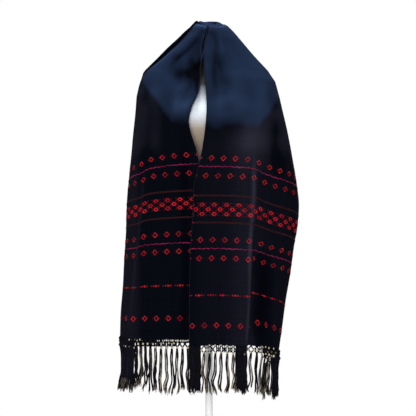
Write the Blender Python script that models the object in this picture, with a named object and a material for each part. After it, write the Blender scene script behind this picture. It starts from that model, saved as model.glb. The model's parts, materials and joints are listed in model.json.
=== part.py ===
"""Rebozo shawl on a limbless dress form, worn as a hood over the form's neck.

One long handwoven cloth lies with its middle over the neck of a dress form. Its two
ends hang in front, the right one (+X) over the left one, and a slit shows the form
between them. Both ends finish in a knotted net and tassels.

Frame: metres, +Z up, -Y to the front, +X to the right as seen from the front. The
origin is the centre of the stand's underside, on the floor.
"""

import math
from collections import namedtuple

import bmesh
import bpy
from mathutils import Vector

# ---------------------------------------------------------------- driving sizes
WALL = 0.0016            # cloth thickness
CLOTH_WIDTH = 0.500      # from selvedge to selvedge
SEAM_GAP = 0.0003        # clearance between neighbouring solids
PARTING_GAP = 0.0006     # drop from the middle of the shawl to each end, as the seam slopes
MID_Z = 1.492            # height of the cloth at the middle of the neck

# Cloth sections from the neck down to where the back ends. z_* are heights at the
# front, at each side and at the middle of the back, left and right are half widths,
# front and back are half depths, corner is the superellipse power of the plan (2 is an
# ellipse, less is pointed), slit_r and slit_l are the x of the two front edges, and
# step is how far the front layer stays inside the back layer on the left shoulder.
Section = namedtuple("Section", "name z_front z_left z_right z_back left right front back"
                     " corner slit_r slit_l step")
SHOULDERS = [
    Section("cap", 1.4830, 1.4915, 1.4915, 1.5000, .024, .024, .024, .024, 2.0, -.0010, -.0045, 0),
    Section("cap_edge", 1.4765, 1.4930, 1.4925, 1.5095, .043, .046, .044, .045, 2.0, -.0030, -.0070, .002),
    Section("rim", 1.4715, 1.4915, 1.4875, 1.5085, .050, .056, .051, .053, 2.0, -.0050, -.0085, .006),
    Section("collar", 1.4520, 1.4715, 1.4695, 1.4880, .073, .074, .060, .064, 1.75, -.0073, -.0114, .013),
    Section("slope_1", 1.4200, 1.4380, 1.4340, 1.4500, .110, .105, .069, .080, 1.5, -.0131, -.0180, .016),
    Section("slope_2", 1.3840, 1.3980, 1.3950, 1.4080, .150, .138, .080, .097, 1.45, -.0145, -.0222, .015),
    Section("slope_3", 1.3480, 1.3570, 1.3540, 1.3640, .192, .176, .0915, .109, 1.55, -.0128, -.0264, .008),
    Section("tip", 1.3160, 1.3200, 1.3190, 1.3260, .2055, .1985, .1015, .117, 1.9, -.0110, -.0250, 0),
    Section("chest", 1.2750, 1.2740, 1.2710, 1.2850, .2165, .2115, .1125, .124, 2.2, -.0081, -.0312, 0),
    Section("bust", 1.2300, 1.2200, 1.2180, 1.2420, .2208, .2230, .1245, .128, 2.35, -.0063, -.0480, 0),
    Section("under_1", 1.1900, 1.1680, 1.1690, 1.2030, .2252, .2345, .127, .130, 2.45, -.0085, -.0560, 0),
    Section("under_2", 1.1500, 1.1130, 1.1180, 1.1650, .2300, .2459, .128, .130, 2.5, -.0130, -.0480, 0),
    Section("parting", 1.1100, 1.0580, 1.0690, 1.1280, .2368, .2562, .128, .130, 2.5, -.0190, -.0367, 0),
]

# The two hanging ends, from the parting down to the hem. drop is measured down the
# front edge, dip is how much lower the weft lies at the side than at the front, tail
# is how much lower again it lies at the outer edge, and edge is the x of the front edge.
End = namedtuple("End", "drop half front back corner dip tail edge")
RIGHT_END = [
    End(0.000, .2562, .128, .130, 2.5, .041, 0.00, -.0190),
    End(0.045, .2633, .128, .130, 2.5, .041, .010, -.0290),
    End(0.095, .2686, .128, .128, 2.5, .041, .016, -.0415),
    End(0.155, .2650, .127, .126, 2.5, .041, .022, -.0450),
    End(0.220, .2552, .127, .124, 2.4, .040, .026, -.0480),
    End(0.300, .2443, .126, .122, 2.3, .039, .028, -.0525),
    End(0.380, .2325, .125, .120, 2.2, .038, .030, -.0545),
    End(0.465, .2210, .124, .118, 2.15, .036, .031, -.0550),
    End(0.558, .2095, .122, .116, 2.1, .034, .032, -.0555),
]
LEFT_END = [
    End(0.000, .2368, .128, .130, 2.5, .0520, 0.00, -.0367),
    End(0.045, .2400, .127, .131, 2.6, .0447, .012, -.0275),
    End(0.095, .2438, .126, .132, 2.7, .0390, .018, -.0235),
    End(0.155, .2467, .125, .133, 2.8, .0340, .022, -.0220),
    End(0.220, .2485, .124, .134, 2.9, .0296, .024, -.0220),
    End(0.300, .2527, .123, .135, 3.0, .0244, .026, -.0220),
    End(0.380, .2565, .122, .135, 3.0, .0190, .026, -.0220),
    End(0.465, .2622, .121, .135, 3.0, .0135, .026, -.0220),
    End(0.543, .2647, .120, .135, 3.0, .0080, .026, -.0220),
]

# Soft folds that run down the ends: place is their x at the parting, lean is how far it
# has moved at the hem, rise is how far the crest stands out there, less than 0 for a
# trough, and start is the drop at which the fold begins.
Fold = namedtuple("Fold", "place lean width rise start")
SOFT_FOLDS = [
    Fold(-.180, -.048, .016, .009, 0.00),
    Fold(-.158, -.040, .022, -.004, 0.02),
    Fold(-.105, -.010, .034, -.006, 0.10),
    Fold(-.060, -.004, .026, .004, 0.16),
    Fold(-.030, 0, .022, .003, 0.18),
    Fold(.030, 0, .026, -.004, 0.14),
    Fold(.080, -.006, .026, .003, 0.14),
    Fold(.158, -.012, .020, .006, 0.20),
    Fold(.200, -.020, .020, -.006, 0.20),
]

# The lapped pleat of the right end: the cloth doubles back behind its own edge.
PLEAT_TOP = 0.510        # place of the pleat's edge, in half widths, at the parting
PLEAT_HEM = 0.525        # and at the hem
PLEAT_LAP = 0.034        # how far the cloth doubles back at the hem
PLEAT_DEPTH = 0.0078     # from layer to layer at the hem
PLEAT_START = -0.02      # drop below the parting where the pleat begins
PLEAT_FULL = 0.40        # and where it is full
PLEAT_EASE = 0.004       # how far its layers stop short of its turns
PLEAT_SPREAD = 0.040     # width of cloth that the pleat takes up where it is still flat
STEP_TOP = 0.007         # how much lower the weft lies beyond the pleat, at the parting
STEP_HEM = -0.009        # and at the hem
SIDE_SAG = 0.012         # how much lower again it lies at the right side
SAG_START = -0.12        # drop where this begins

# The right end laps over the left one in front.
LAP_START, LAP_FULL = -0.03, 0.09    # drops between which the lap forms
LAP_OUT, LAP_IN = 0.0060, -0.0035    # how far the two front edges part in depth
LAP_FADE = 0.07                      # width over which that fades out

# Swags of the back, which hang from the shoulders.
SWAG_RISE = 0.0050
SWAG_PITCH = 0.240
SWAG_SAG = 1.9           # how steeply a swag climbs to the sides, in 1/m
SHOULDER_EASE = 0.060    # width over which the left shoulder's fold runs out
CREST_OFFSET = 0.012     # distance of a shoulder fold's crests from its trough

REAR_FADE = 0.13         # drop over which the back's own shape leaves the ends

# Mesh densities.
FRONT_COLUMNS = 13       # right end, from its front edge to its pleat
SIDE_COLUMNS = 8         # right end, from its pleat to the side
LEFT_COLUMNS = 21        # left end, from its front edge to the side
REAR_COLUMNS = 9         # either side, from the side to the outer edge
END_ROWS = 15
SAMPLES = 48             # points of a quarter plan curve that its length is read from

# Fringe: a strip at the hem, a net of diamonds and two-strand tassels.
STRIP = 0.0030
NET_LEVELS = (0.0, 0.0100, 0.0200)   # depths of the knots below the strip
CORD = 0.0024            # thickness of the net
KNOT = 0.0042            # width of a knot
TASSEL_LEFT = 0.132      # usual length of a tassel of the left end
TASSEL_RIGHT = 0.116     # and of the right end
TASSEL_WIDTH = 0.0041    # width of one of its two strands
TASSEL_THICK = 0.0040
TASSEL_STEPS = (0.10, 0.55, 1.0)   # shares of a strand's length where it bends
STRAND_APART = 0.0030    # how far each strand of a tassel stands from its middle
PITCH = 0.0185           # distance between tassels
PLEAT_FIRST = 12         # the column of the right end where its pleat begins
FringeRun = namedtuple("FringeRun", "name end first last tassel")
FRINGE_RUNS = [
    FringeRun("fringe_left", "left", 0, None, TASSEL_LEFT),
    FringeRun("fringe_right_front", "right", 0, PLEAT_FIRST + 1, TASSEL_RIGHT),
    FringeRun("fringe_right_lap", "right", PLEAT_FIRST + 2, PLEAT_FIRST + 4, TASSEL_RIGHT),
    FringeRun("fringe_right_rear", "right", PLEAT_FIRST + 5, None, TASSEL_RIGHT),
]

# Dress form: height, half width, half depths and plan power of each ring. tilt raises
# the back of the ring and lowers its front.
Ring = namedtuple("Ring", "z half front back corner tilt")
FORM_RINGS = [
    Ring(.800, .150, .082, .092, 2.3, 0), Ring(.803, .168, .094, .104, 2.3, 0),
    Ring(.815, .178, .102, .112, 2.3, 0), Ring(.870, .179, .106, .114, 2.3, 0),
    Ring(.930, .164, .100, .108, 2.3, 0), Ring(.990, .140, .089, .094, 2.25, 0),
    Ring(1.040, .128, .082, .084, 2.2, 0), Ring(1.090, .135, .086, .087, 2.2, 0),
    Ring(1.140, .149, .101, .095, 2.2, 0), Ring(1.180, .160, .114, .101, 2.2, 0),
    Ring(1.210, .167, .117, .105, 2.2, 0), Ring(1.240, .172, .111, .108, 2.2, 0),
    Ring(1.280, .180, .099, .108, 2.2, 0), Ring(1.305, .184, .089, .104, 2.1, 0),
    Ring(1.325, .176, .077, .096, 2.0, 0), Ring(1.345, .147, .066, .086, 1.9, .002),
    Ring(1.365, .108, .056, .075, 1.9, .005), Ring(1.385, .074, .050, .064, 1.95, .009),
    Ring(1.410, .053, .045, .054, 2.0, .013), Ring(1.445, .046, .042, .046, 2.0, .016),
    Ring(1.476, .044, .041, .044, 2.0, .017), Ring(1.482, .040, .037, .040, 2.0, .016),
]
FORM_SEGMENTS = 34
POST_SEGMENTS = 40
# (radius, z) from the bottom up. The post stands on the base and carries the form.
BASE_PROFILE = [(.192, 0), (.196, .003), (.196, .010), (.190, .013), (.090, .017), (.050, .019)]
POST_PROFILE = [(.036, .0193), (.036, .0240), (.030, .0270), (.0125, .0300), (.0110, .0340),
                (.0110, .7780), (.0125, .7820), (.0340, .7850), (.0380, .7880), (.0380, .7997)]

CLOTH_COLOUR = (0.008, 0.010, 0.022, 1.0)
FRINGE_COLOUR = (0.030, 0.029, 0.030, 1.0)
FORM_COLOUR = (0.72, 0.68, 0.62, 1.0)
STAND_COLOUR = (0.80, 0.80, 0.79, 1.0)


# ---------------------------------------------------------------- small helpers
def clear_scene():
    """Remove whatever the scene held."""
    for obj in list(bpy.data.objects):
        bpy.data.objects.remove(obj)


def material(name, colour, roughness, metallic=0.0):
    """A Principled material of one colour."""
    made = bpy.data.materials.new(name)
    made.use_nodes = True
    shader = made.node_tree.nodes["Principled BSDF"]
    shader.inputs["Base Color"].default_value = colour
    shader.inputs["Roughness"].default_value = roughness
    shader.inputs["Metallic"].default_value = metallic
    return made


def add_object(name, mesh_data, finish, sharp_angle=math.radians(50)):
    """Link a mesh as a named object, shaded smooth but for its sharp edges."""
    mesh = bpy.data.meshes.new(name)
    mesh_data.to_mesh(mesh)
    mesh_data.free()
    mesh.shade_smooth()
    mesh.set_sharp_from_angle(angle=sharp_angle)
    mesh.materials.append(finish)
    obj = bpy.data.objects.new(name, mesh)
    bpy.context.scene.collection.objects.link(obj)
    return obj


def ease(low, high, value):
    """0 below low, 1 above high and a smooth rise between them."""
    t = min(1.0, max(0.0, (value - low) / (high - low)))
    return t * t * (3 - 2 * t)


def bump(distance, width):
    """A rounded bump, 1 at its middle."""
    return math.exp(-(distance / width) ** 2)


def mix(a, b, t):
    return a + (b - a) * t


def cubic(a, b, c, d, t):
    """Catmull-Rom curve from b to c."""
    return b + 0.5 * t * (c - a + t * (2 * a - 5 * b + 4 * c - d + t * (3 * (b - c) + d - a)))


def row_at(table, key, value):
    """A row of a table, read smoothly between its rows by the column named key."""
    rows = len(table)
    index = 0
    while index < rows - 2 and getattr(table[index + 1], key) < value:
        index += 1
    low, high = table[index], table[index + 1]
    t = (value - getattr(low, key)) / (getattr(high, key) - getattr(low, key))
    before, after = table[max(index - 1, 0)], table[min(index + 2, rows - 1)]
    return type(low)(*(cubic(a, b, c, d, t) for a, b, c, d in zip(before, low, high, after)))


# ---------------------------------------------------------------- plan curves
class PlanCurve:
    """A horizontal curve round the body, read by its length from the front's middle.

    Lengths are positive to the right and negative to the left, and run from the middle
    of the front to the middle of the back on either side.
    """

    def __init__(self, left, right, front, back, corner):
        self.right = right
        self.points = []
        self.lengths = []
        power = 2 / corner
        for step in range(-2 * SAMPLES, 2 * SAMPLES + 1):
            angle = step * math.pi / (2 * SAMPLES)
            half = right if step > 0 else left
            depth = front if abs(step) < SAMPLES else back
            across = math.copysign(abs(math.sin(angle)) ** power, math.sin(angle))
            along = math.copysign(abs(math.cos(angle)) ** power, math.cos(angle))
            self.points.append(Vector((half * across, -depth * along)))
        total = 0.0
        self.lengths.append(total)
        for a, b in zip(self.points, self.points[1:]):
            total += (b - a).length
            self.lengths.append(total)
        middle = self.lengths[2 * SAMPLES]
        self.lengths = [length - middle for length in self.lengths]
        self.right_side = self.lengths[3 * SAMPLES]
        self.left_side = self.lengths[SAMPLES]

    def _place(self, keys, value):
        low, high = 0, len(keys) - 1
        while high - low > 1:
            middle = (low + high) // 2
            if keys[middle] <= value:
                low = middle
            else:
                high = middle
        t = (value - keys[low]) / max(keys[high] - keys[low], 1e-12)
        return low, t

    def at(self, length):
        """The point at that length."""
        low, t = self._place(self.lengths, length)
        return self.points[low].lerp(self.points[low + 1], t)

    def outward(self, length, reach=0.012):
        """The outward direction there, taken over a short stretch of the curve."""
        along = self.at(length + reach) - self.at(length - reach)
        return Vector((along.y, -along.x)).normalized()

    def length_at_x(self, x):
        """The length where the front of the curve has that x."""
        front = self.points[SAMPLES:3 * SAMPLES + 1]
        low, t = self._place([point.x for point in front], x)
        return mix(self.lengths[SAMPLES + low], self.lengths[SAMPLES + low + 1], t)


# ---------------------------------------------------------------- cloth columns
def spaced(start, end, count):
    """count values from start to end."""
    return [mix(start, end, index / (count - 1)) for index in range(count)]


def right_columns(curve, edge_x, outer, drop):
    """(length, lift, passed) of each column of the right side, from the front edge back.

    passed is the share of the pleat that lies before the column.
    """
    share = ease(0.0, 0.56, drop)
    slide = ease(mix(PLEAT_START, PLEAT_FULL, 0.3), PLEAT_FULL, drop)
    part = ease(PLEAT_START, mix(PLEAT_START, PLEAT_FULL, 0.5), drop)
    crease = curve.length_at_x(mix(PLEAT_TOP, PLEAT_HEM, share) * curve.right)
    start = curve.length_at_x(edge_x)
    lap, depth = PLEAT_LAP, PLEAT_DEPTH
    inner = crease - lap
    folded = [(crease - PLEAT_EASE, depth), (crease, depth / 2), (crease - PLEAT_EASE, 0.0),
              (inner + PLEAT_EASE, 0.0), (inner, -depth / 2), (inner + PLEAT_EASE, -depth)]
    spread = PLEAT_SPREAD * min(1.0, curve.right / 0.16)
    flat = spaced(crease - spread / 2, crease + spread / 2, len(folded))
    pleat = [(mix(a, b, slide), part * lift) for a, (b, lift) in zip(flat, folded)]
    first, last = pleat[0], pleat[-1]
    columns = []
    for length in spaced(start, first[0], FRONT_COLUMNS)[:-1]:
        columns.append((length, first[1] * ease(start, first[0], length), 0.0))
    for index, (length, lift) in enumerate(pleat):
        columns.append((length, lift, max(0, index - 1) / (len(pleat) - 2)))
    side = curve.right_side
    for length in spaced(last[0], side, SIDE_COLUMNS + 1)[1:]:
        columns.append((length, last[1] * (1 - ease(last[0], side, length)), 1.0))
    for length in spaced(side, outer, REAR_COLUMNS + 1)[1:]:
        columns.append((length, 0.0, 1.0))
    return columns


def left_columns(curve, edge_x, outer, drop):
    """(length, lift, passed) of each column of the left side, which has no pleat."""
    start, side = curve.length_at_x(edge_x), curve.left_side
    lengths = spaced(start, side + CREST_OFFSET, LEFT_COLUMNS - 1) + [side]
    lengths += spaced(side - CREST_OFFSET, outer, REAR_COLUMNS)
    return [(length, 0.0, 0.0) for length in lengths]


def soft_lift(curve, length, drop):
    """How far the soft folds, which grow towards the hem, lift the cloth there."""
    lift = 0.0
    for fold in SOFT_FOLDS:
        grown = ease(fold.start, 0.50, drop)
        if grown > 0:
            crest = curve.length_at_x(fold.place + fold.lean * drop / 0.55)
            lift += fold.rise * grown * bump(length - crest, fold.width)
    return lift


def lap_lift(curve, length, edge_x, drop, side):
    """How far the lap of the two ends moves the cloth near its front edge."""
    formed = ease(LAP_START, LAP_FULL, drop)
    away = abs(length - curve.length_at_x(edge_x))
    return formed * (LAP_OUT if side > 0 else LAP_IN) * (1 - ease(0.012, LAP_FADE, away))


def side_sag(curve, length, passed, drop):
    """How much lower the weft lies there because of the pleat."""
    formed = ease(SAG_START, 0, drop)
    step = mix(STEP_TOP, STEP_HEM, max(drop, 0) / RIGHT_END[-1].drop)
    pleat = curve.length_at_x(mix(PLEAT_TOP, PLEAT_HEM, ease(0.0, 0.56, drop)) * curve.right)
    beyond = (length - pleat) / (curve.right_side - pleat)
    return passed * formed * (step + SIDE_SAG * min(1.0, max(0.0, beyond)))


def swag_lift(point, z):
    """How far the swags move the cloth of the back."""
    behind = ease(0.03, 0.10, point.y)
    low = ease(0.0, 0.14, SHOULDERS[3].z_back - z)
    phase = (z - SWAG_SAG * point.x ** 2) / SWAG_PITCH
    return SWAG_RISE * behind * low * math.cos(2 * math.pi * phase)


# ---------------------------------------------------------------- cloth surfaces
def shoulder_row(section, side):
    """Points of one section of the middle of the shawl on one side, front edge first."""
    curve = PlanCurve(section.left, section.right, section.front, section.back, section.corner)
    end = curve.lengths[-1] if side > 0 else curve.lengths[0]
    edge_x = section.slit_r if side > 0 else section.slit_l
    drop = SHOULDERS[-1].z_front - section.z_front
    maker = right_columns if side > 0 else left_columns
    beside = curve.right_side if side > 0 else curve.left_side
    z_side = section.z_right if side > 0 else section.z_left
    points = []
    for length, lift, passed in maker(curve, edge_x, end, drop):
        sag = side_sag(curve, length, passed, drop)
        lift += lap_lift(curve, length, edge_x, drop, side)
        place = curve.at(length)
        share = abs(length) / abs(beside)
        if share <= 1:
            z = mix(section.z_front, z_side, share ** 2.2) - sag
        else:
            behind = (abs(length) - abs(beside)) / (abs(end) - abs(beside))
            z = mix(z_side - sag, section.z_back, ease(0, 1, behind))
        lift += swag_lift(place, z)
        place = place + curve.outward(length) * lift
        if side < 0 and section.step:
            place.x += shoulder_step(section, abs(length) - abs(beside))
        points.append(Vector((place.x, place.y, z)))
    return points


def shoulder_step(section, past_side):
    """How far the front layer of the left shoulder lies inside the back layer."""
    if past_side > CREST_OFFSET / 2:
        return 0.0
    trough = 0.35 * section.step if abs(past_side) < CREST_OFFSET / 2 else 0.0
    return trough + section.step * ease(-SHOULDER_EASE, -CREST_OFFSET, past_side)


def end_row(table, drop, side):
    """Points of one weft line of a hanging end, front edge first."""
    row = row_at(table, "drop", drop)
    other = LEFT_END if side > 0 else RIGHT_END
    across = row_at(other, "drop", min(drop, other[-1].drop))
    left, right = (across.half, row.half) if side > 0 else (row.half, across.half)
    curve = PlanCurve(left, right, row.front, row.back, row.corner)
    outer = (curve.right_side if side > 0 else curve.left_side) * 1.5
    for _ in range(5):
        points = weft_line(curve, row, drop, side, outer)
        width = sum((b - a).length for a, b in zip(points, points[1:]))
        outer += side * (CLOTH_WIDTH - width)
    return points


def weft_line(curve, row, drop, side, outer):
    """Points of one weft line whose outer edge lies at that length of the plan curve."""
    top = SHOULDERS[-1]
    beside = curve.right_side if side > 0 else curve.left_side
    maker = right_columns if side > 0 else left_columns
    middle = curve.lengths[-1] if side > 0 else curve.lengths[0]
    top_side = top.z_right if side > 0 else top.z_left
    near_top = 1 - ease(0, REAR_FADE, drop)
    points = []
    for length, lift, passed in maker(curve, row.edge, outer, drop):
        lift += lap_lift(curve, length, row.edge, drop, side)
        lift += soft_lift(curve, length, drop)
        place = curve.at(length)
        share = abs(length) / abs(beside)
        z = top.z_front - drop - row.dip * min(share, 1.0) ** 2.2
        z -= side_sag(curve, length, passed, drop)
        if share > 1:
            z_side = top_side - side_sag(curve, length, passed, 0.0)
            past = abs(length) - abs(beside)
            behind = past / (abs(middle) - abs(beside))
            z += near_top * (top.z_back - z_side) * ease(0, 1, behind)
            z -= row.tail * past / (abs(outer) - abs(beside))
        lift += near_top * swag_lift(place, z)
        place = place + curve.outward(length) * lift
        points.append(Vector((place.x, place.y, z)))
    return points


def end_grid(table, side):
    """All rows of a hanging end, from just below the parting to the hem."""
    return [end_row(table, drop, side)
            for drop in spaced(PARTING_GAP, table[-1].drop, END_ROWS)]


def shoulder_grid():
    """All rows of the middle of the shawl, each from the right edge round to the left."""
    rows = []
    for section in SHOULDERS:
        right, left = shoulder_row(section, 1), shoulder_row(section, -1)
        rows.append(right + left[-2::-1])
    return rows


# ---------------------------------------------------------------- solids
def grid_normals(grid, apex=None):
    """The outward normal at each point of a grid of rows, level along its seams."""
    rows, columns = len(grid), len(grid[0])
    normals = []
    for r in range(rows):
        line = []
        for c in range(columns):
            above = grid[r - 1][c] if r else (apex or grid[0][c])
            down = grid[min(r + 1, rows - 1)][c] - above
            along = grid[r][min(c + 1, columns - 1)] - grid[r][max(c - 1, 0)]
            normal = down.cross(along).normalized()
            if r == rows - 1 or (r == 0 and apex is None):
                normal = Vector((normal.x, normal.y, 0)).normalized()
            line.append(normal)
        normals.append(line)
    return normals


def wall_from_grid(grid, thickness, apex=None):
    """A closed wall whose middle surface is the grid, which may start from one point."""
    made = bmesh.new()
    rows, columns = len(grid), len(grid[0])
    normals = grid_normals(grid, apex)
    layers = []
    for direction in (0.5, -0.5):
        layers.append([[made.verts.new(p + n * direction * thickness) for p, n in zip(*line)]
                       for line in zip(grid, normals)])
    outer, inner = layers
    for r in range(rows - 1):
        for c in range(columns - 1):
            quad = ((r, c), (r + 1, c), (r + 1, c + 1), (r, c + 1))
            made.faces.new([outer[i][j] for i, j in quad])
            made.faces.new([inner[i][j] for i, j in reversed(quad)])
    border = [(r, 0) for r in range(rows)]
    border += [(rows - 1, c) for c in range(1, columns)]
    border += [(r, columns - 1) for r in range(rows - 2, -1, -1)]
    if apex is None:
        border += [(0, c) for c in range(columns - 2, -1, -1)]
        for (r0, c0), (r1, c1) in zip(border, border[1:]):
            made.faces.new((outer[r1][c1], outer[r0][c0], inner[r0][c0], inner[r1][c1]))
    else:
        up = sum((line for line in normals[0]), Vector()).normalized()
        tips = [made.verts.new(apex + up * direction * thickness) for direction in (0.5, -0.5)]
        for c in range(columns - 1):
            made.faces.new((tips[0], outer[0][c], outer[0][c + 1]))
            made.faces.new((tips[1], inner[0][c + 1], inner[0][c]))
        rim = [(tips[0], tips[1])] + [(outer[r][c], inner[r][c]) for r, c in border]
        rim.append(rim[0])
        for (out_a, in_a), (out_b, in_b) in zip(rim, rim[1:]):
            made.faces.new((out_b, out_a, in_a, in_b))
    bmesh.ops.recalc_face_normals(made, faces=made.faces[:])
    return made


def lofted_form():
    """The dress form: one closed body from its flat underside to the top of its neck."""
    made = bmesh.new()
    loops = []
    for ring in FORM_RINGS:
        loop = []
        power = 2 / ring.corner
        for index in range(FORM_SEGMENTS):
            angle = 2 * math.pi * index / FORM_SEGMENTS
            across = math.copysign(abs(math.sin(angle)) ** power, math.sin(angle))
            along = math.copysign(abs(math.cos(angle)) ** power, math.cos(angle))
            depth = ring.front if along > 0 else ring.back
            loop.append(made.verts.new((ring.half * across, -depth * along,
                                        ring.z - ring.tilt * along)))
        loops.append(loop)
    for low, high in zip(loops, loops[1:]):
        for index in range(FORM_SEGMENTS):
            after = (index + 1) % FORM_SEGMENTS
            made.faces.new((low[index], low[after], high[after], high[index]))
    made.faces.new(reversed(loops[0]))
    made.faces.new(loops[-1])
    bmesh.ops.recalc_face_normals(made, faces=made.faces[:])
    return made


def turned(profile, segments):
    """A body of revolution about Z from (radius, z) rows, bottom to top."""
    made = bmesh.new()
    loops = []
    for radius, z in profile:
        loops.append([made.verts.new((radius * math.cos(2 * math.pi * i / segments),
                                      radius * math.sin(2 * math.pi * i / segments), z))
                      for i in range(segments)])
    for low, high in zip(loops, loops[1:]):
        for index in range(segments):
            after = (index + 1) % segments
            made.faces.new((low[index], low[after], high[after], high[index]))
    made.faces.new(reversed(loops[0]))
    made.faces.new(loops[-1])
    return made


# ---------------------------------------------------------------- fringe
class HemRun:
    """A stretch of hem, read by its length from the stretch's start."""

    def __init__(self, points, side):
        self.points = points
        self.lengths = [0.0]
        for a, b in zip(points, points[1:]):
            self.lengths.append(self.lengths[-1] + (b - a).length)
        self.normals = []
        for index in range(len(points)):
            along = points[min(index + 1, len(points) - 1)] - points[max(index - 1, 0)]
            self.normals.append(Vector((along.y, -along.x, 0)).normalized() * side)

    def at(self, length):
        """(point, outward direction, direction along the hem) at that length."""
        index = 0
        while index < len(self.lengths) - 2 and self.lengths[index + 1] < length:
            index += 1
        t = (length - self.lengths[index]) / (self.lengths[index + 1] - self.lengths[index])
        point = self.points[index].lerp(self.points[index + 1], t)
        normal = self.normals[index].lerp(self.normals[index + 1], t).normalized()
        along = (self.points[index + 1] - self.points[index]).normalized()
        return point, normal, along


class FringeSheet:
    """A cut-out sheet laid along a hem and thickened, which the fringe is made of."""

    def __init__(self, run, thickness):
        self.run, self.thickness = run, thickness
        self.made = bmesh.new()
        self.pairs = {}
        self.faces = []

    def vertex(self, key, length, down, out=0.0, thickness=None):
        """Make the point known by key, with its outer and inner copies."""
        inside = min(max(length, 0.0), self.run.lengths[-1])
        point, normal, along = self.run.at(inside)
        middle = point + along * (length - inside) + normal * out - Vector((0, 0, down))
        half = normal * (thickness or self.thickness) / 2
        self.pairs[key] = (self.made.verts.new(middle + half), self.made.verts.new(middle - half))
        return key

    def face(self, *keys):
        """Add a face through those points, counter-clockwise from outside."""
        self.faces.append(keys)

    def close(self):
        """Build both skins and the walls along every free edge."""
        edges = set()
        for keys in self.faces:
            self.made.faces.new([self.pairs[key][0] for key in keys])
            self.made.faces.new([self.pairs[key][1] for key in reversed(keys)])
            edges.update(zip(keys, keys[1:] + keys[:1]))
        for a, b in edges:
            if (b, a) not in edges:
                out_a, in_a = self.pairs[a]
                out_b, in_b = self.pairs[b]
                self.made.faces.new((out_b, out_a, in_a, in_b))
        bmesh.ops.recalc_face_normals(self.made, faces=self.made.faces[:])
        return self.made


def wobble(index, salt):
    """A repeatable value from -1 to 1."""
    return math.sin(12.9898 * (index + 1) + 78.233 * salt + 0.5 * math.sin(4.1 * index + salt))


def add_knot(sheet, level, place, length, down):
    """The four corners of a knot and its face."""
    key = (level, place)
    corners = [sheet.vertex(key + ("top",), length, down - KNOT / 2),
               sheet.vertex(key + ("left",), length - KNOT / 2, down),
               sheet.vertex(key + ("bottom",), length, down + KNOT / 2),
               sheet.vertex(key + ("right",), length + KNOT / 2, down)]
    sheet.face(*corners)
    return corners


def add_strand(sheet, start, end, centre, down, reach, sway, key):
    """One tassel strand, which hangs from the edge of a knot between start and end."""
    half = TASSEL_WIDTH / 2
    for segment, t in enumerate(TASSEL_STEPS):
        middle = centre + sway * t * (1.3 - t)
        out = 0.0012 * wobble(centre * 900, segment)
        low_left = sheet.vertex(key + (segment, 0), middle - half, down + reach * t, out,
                                TASSEL_THICK)
        low_right = sheet.vertex(key + (segment, 1), middle + half, down + reach * t, out,
                                 TASSEL_THICK)
        sheet.face(start, low_left, low_right, end)
        start, end = low_left, low_right


def fringe_body(run, tassels, usual, salt):
    """The strip, net and tassels below one stretch of hem, as one closed body.

    Knots stand at whole pitches on odd levels of the net and at half pitches on even
    ones, and the strip's lower edge is level 0. Two cords run down from each knot to
    its neighbours a level below. usual is the length of most tassels.
    """
    sheet = FringeSheet(run, CORD)
    pitch = run.lengths[-1] / tassels
    base = SEAM_GAP + STRIP
    for half_step in range(2 * tassels + 1):
        place = half_step / 2
        sheet.vertex(("strip", place), place * pitch, SEAM_GAP)
        if half_step % 2:
            sheet.vertex((0, place, "left"), place * pitch - KNOT / 2, base)
            sheet.vertex((0, place, "bottom"), place * pitch, base + KNOT / 2)
            sheet.vertex((0, place, "right"), place * pitch + KNOT / 2, base)
        else:
            sheet.vertex(("base", place), place * pitch, base)
    for index in range(tassels):
        a, m, b = float(index), index + 0.5, index + 1.0
        sheet.face(("strip", a), ("base", a), (0, m, "left"), ("strip", m))
        sheet.face(("strip", m), (0, m, "left"), (0, m, "bottom"), (0, m, "right"))
        sheet.face(("strip", m), (0, m, "right"), ("base", b), ("strip", b))
    levels = [[index + 0.5 for index in range(tassels)]]
    last = len(NET_LEVELS) - 1
    for level in range(1, last + 1):
        odd = level % 2
        levels.append([float(i) for i in range(1, tassels)] if odd else list(levels[0]))
        for place in levels[level]:
            add_knot(sheet, level, place, place * pitch, base + NET_LEVELS[level])
    for level in range(last):
        for place in levels[level]:
            if place - 0.5 in levels[level + 1]:
                low = (level + 1, place - 0.5)
                sheet.face((level, place, "left"), low + ("top",), low + ("right",),
                           (level, place, "bottom"))
            if place + 0.5 in levels[level + 1]:
                low = (level + 1, place + 0.5)
                sheet.face((level, place, "bottom"), low + ("left",), low + ("top",),
                           (level, place, "right"))
    for place in levels[last]:
        sway = 0.0030 * wobble(place, salt)
        for side, (start, end) in ((-1, ("left", "bottom")), (1, ("bottom", "right"))):
            reach = usual * (1 + 0.08 * wobble(place + 7 * side, salt))
            key = (last, place)
            add_strand(sheet, key + (start,), key + (end,), place * pitch + side * STRAND_APART,
                       base + NET_LEVELS[last], reach, sway, ("strand", place, side))
    return sheet.close()


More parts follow.
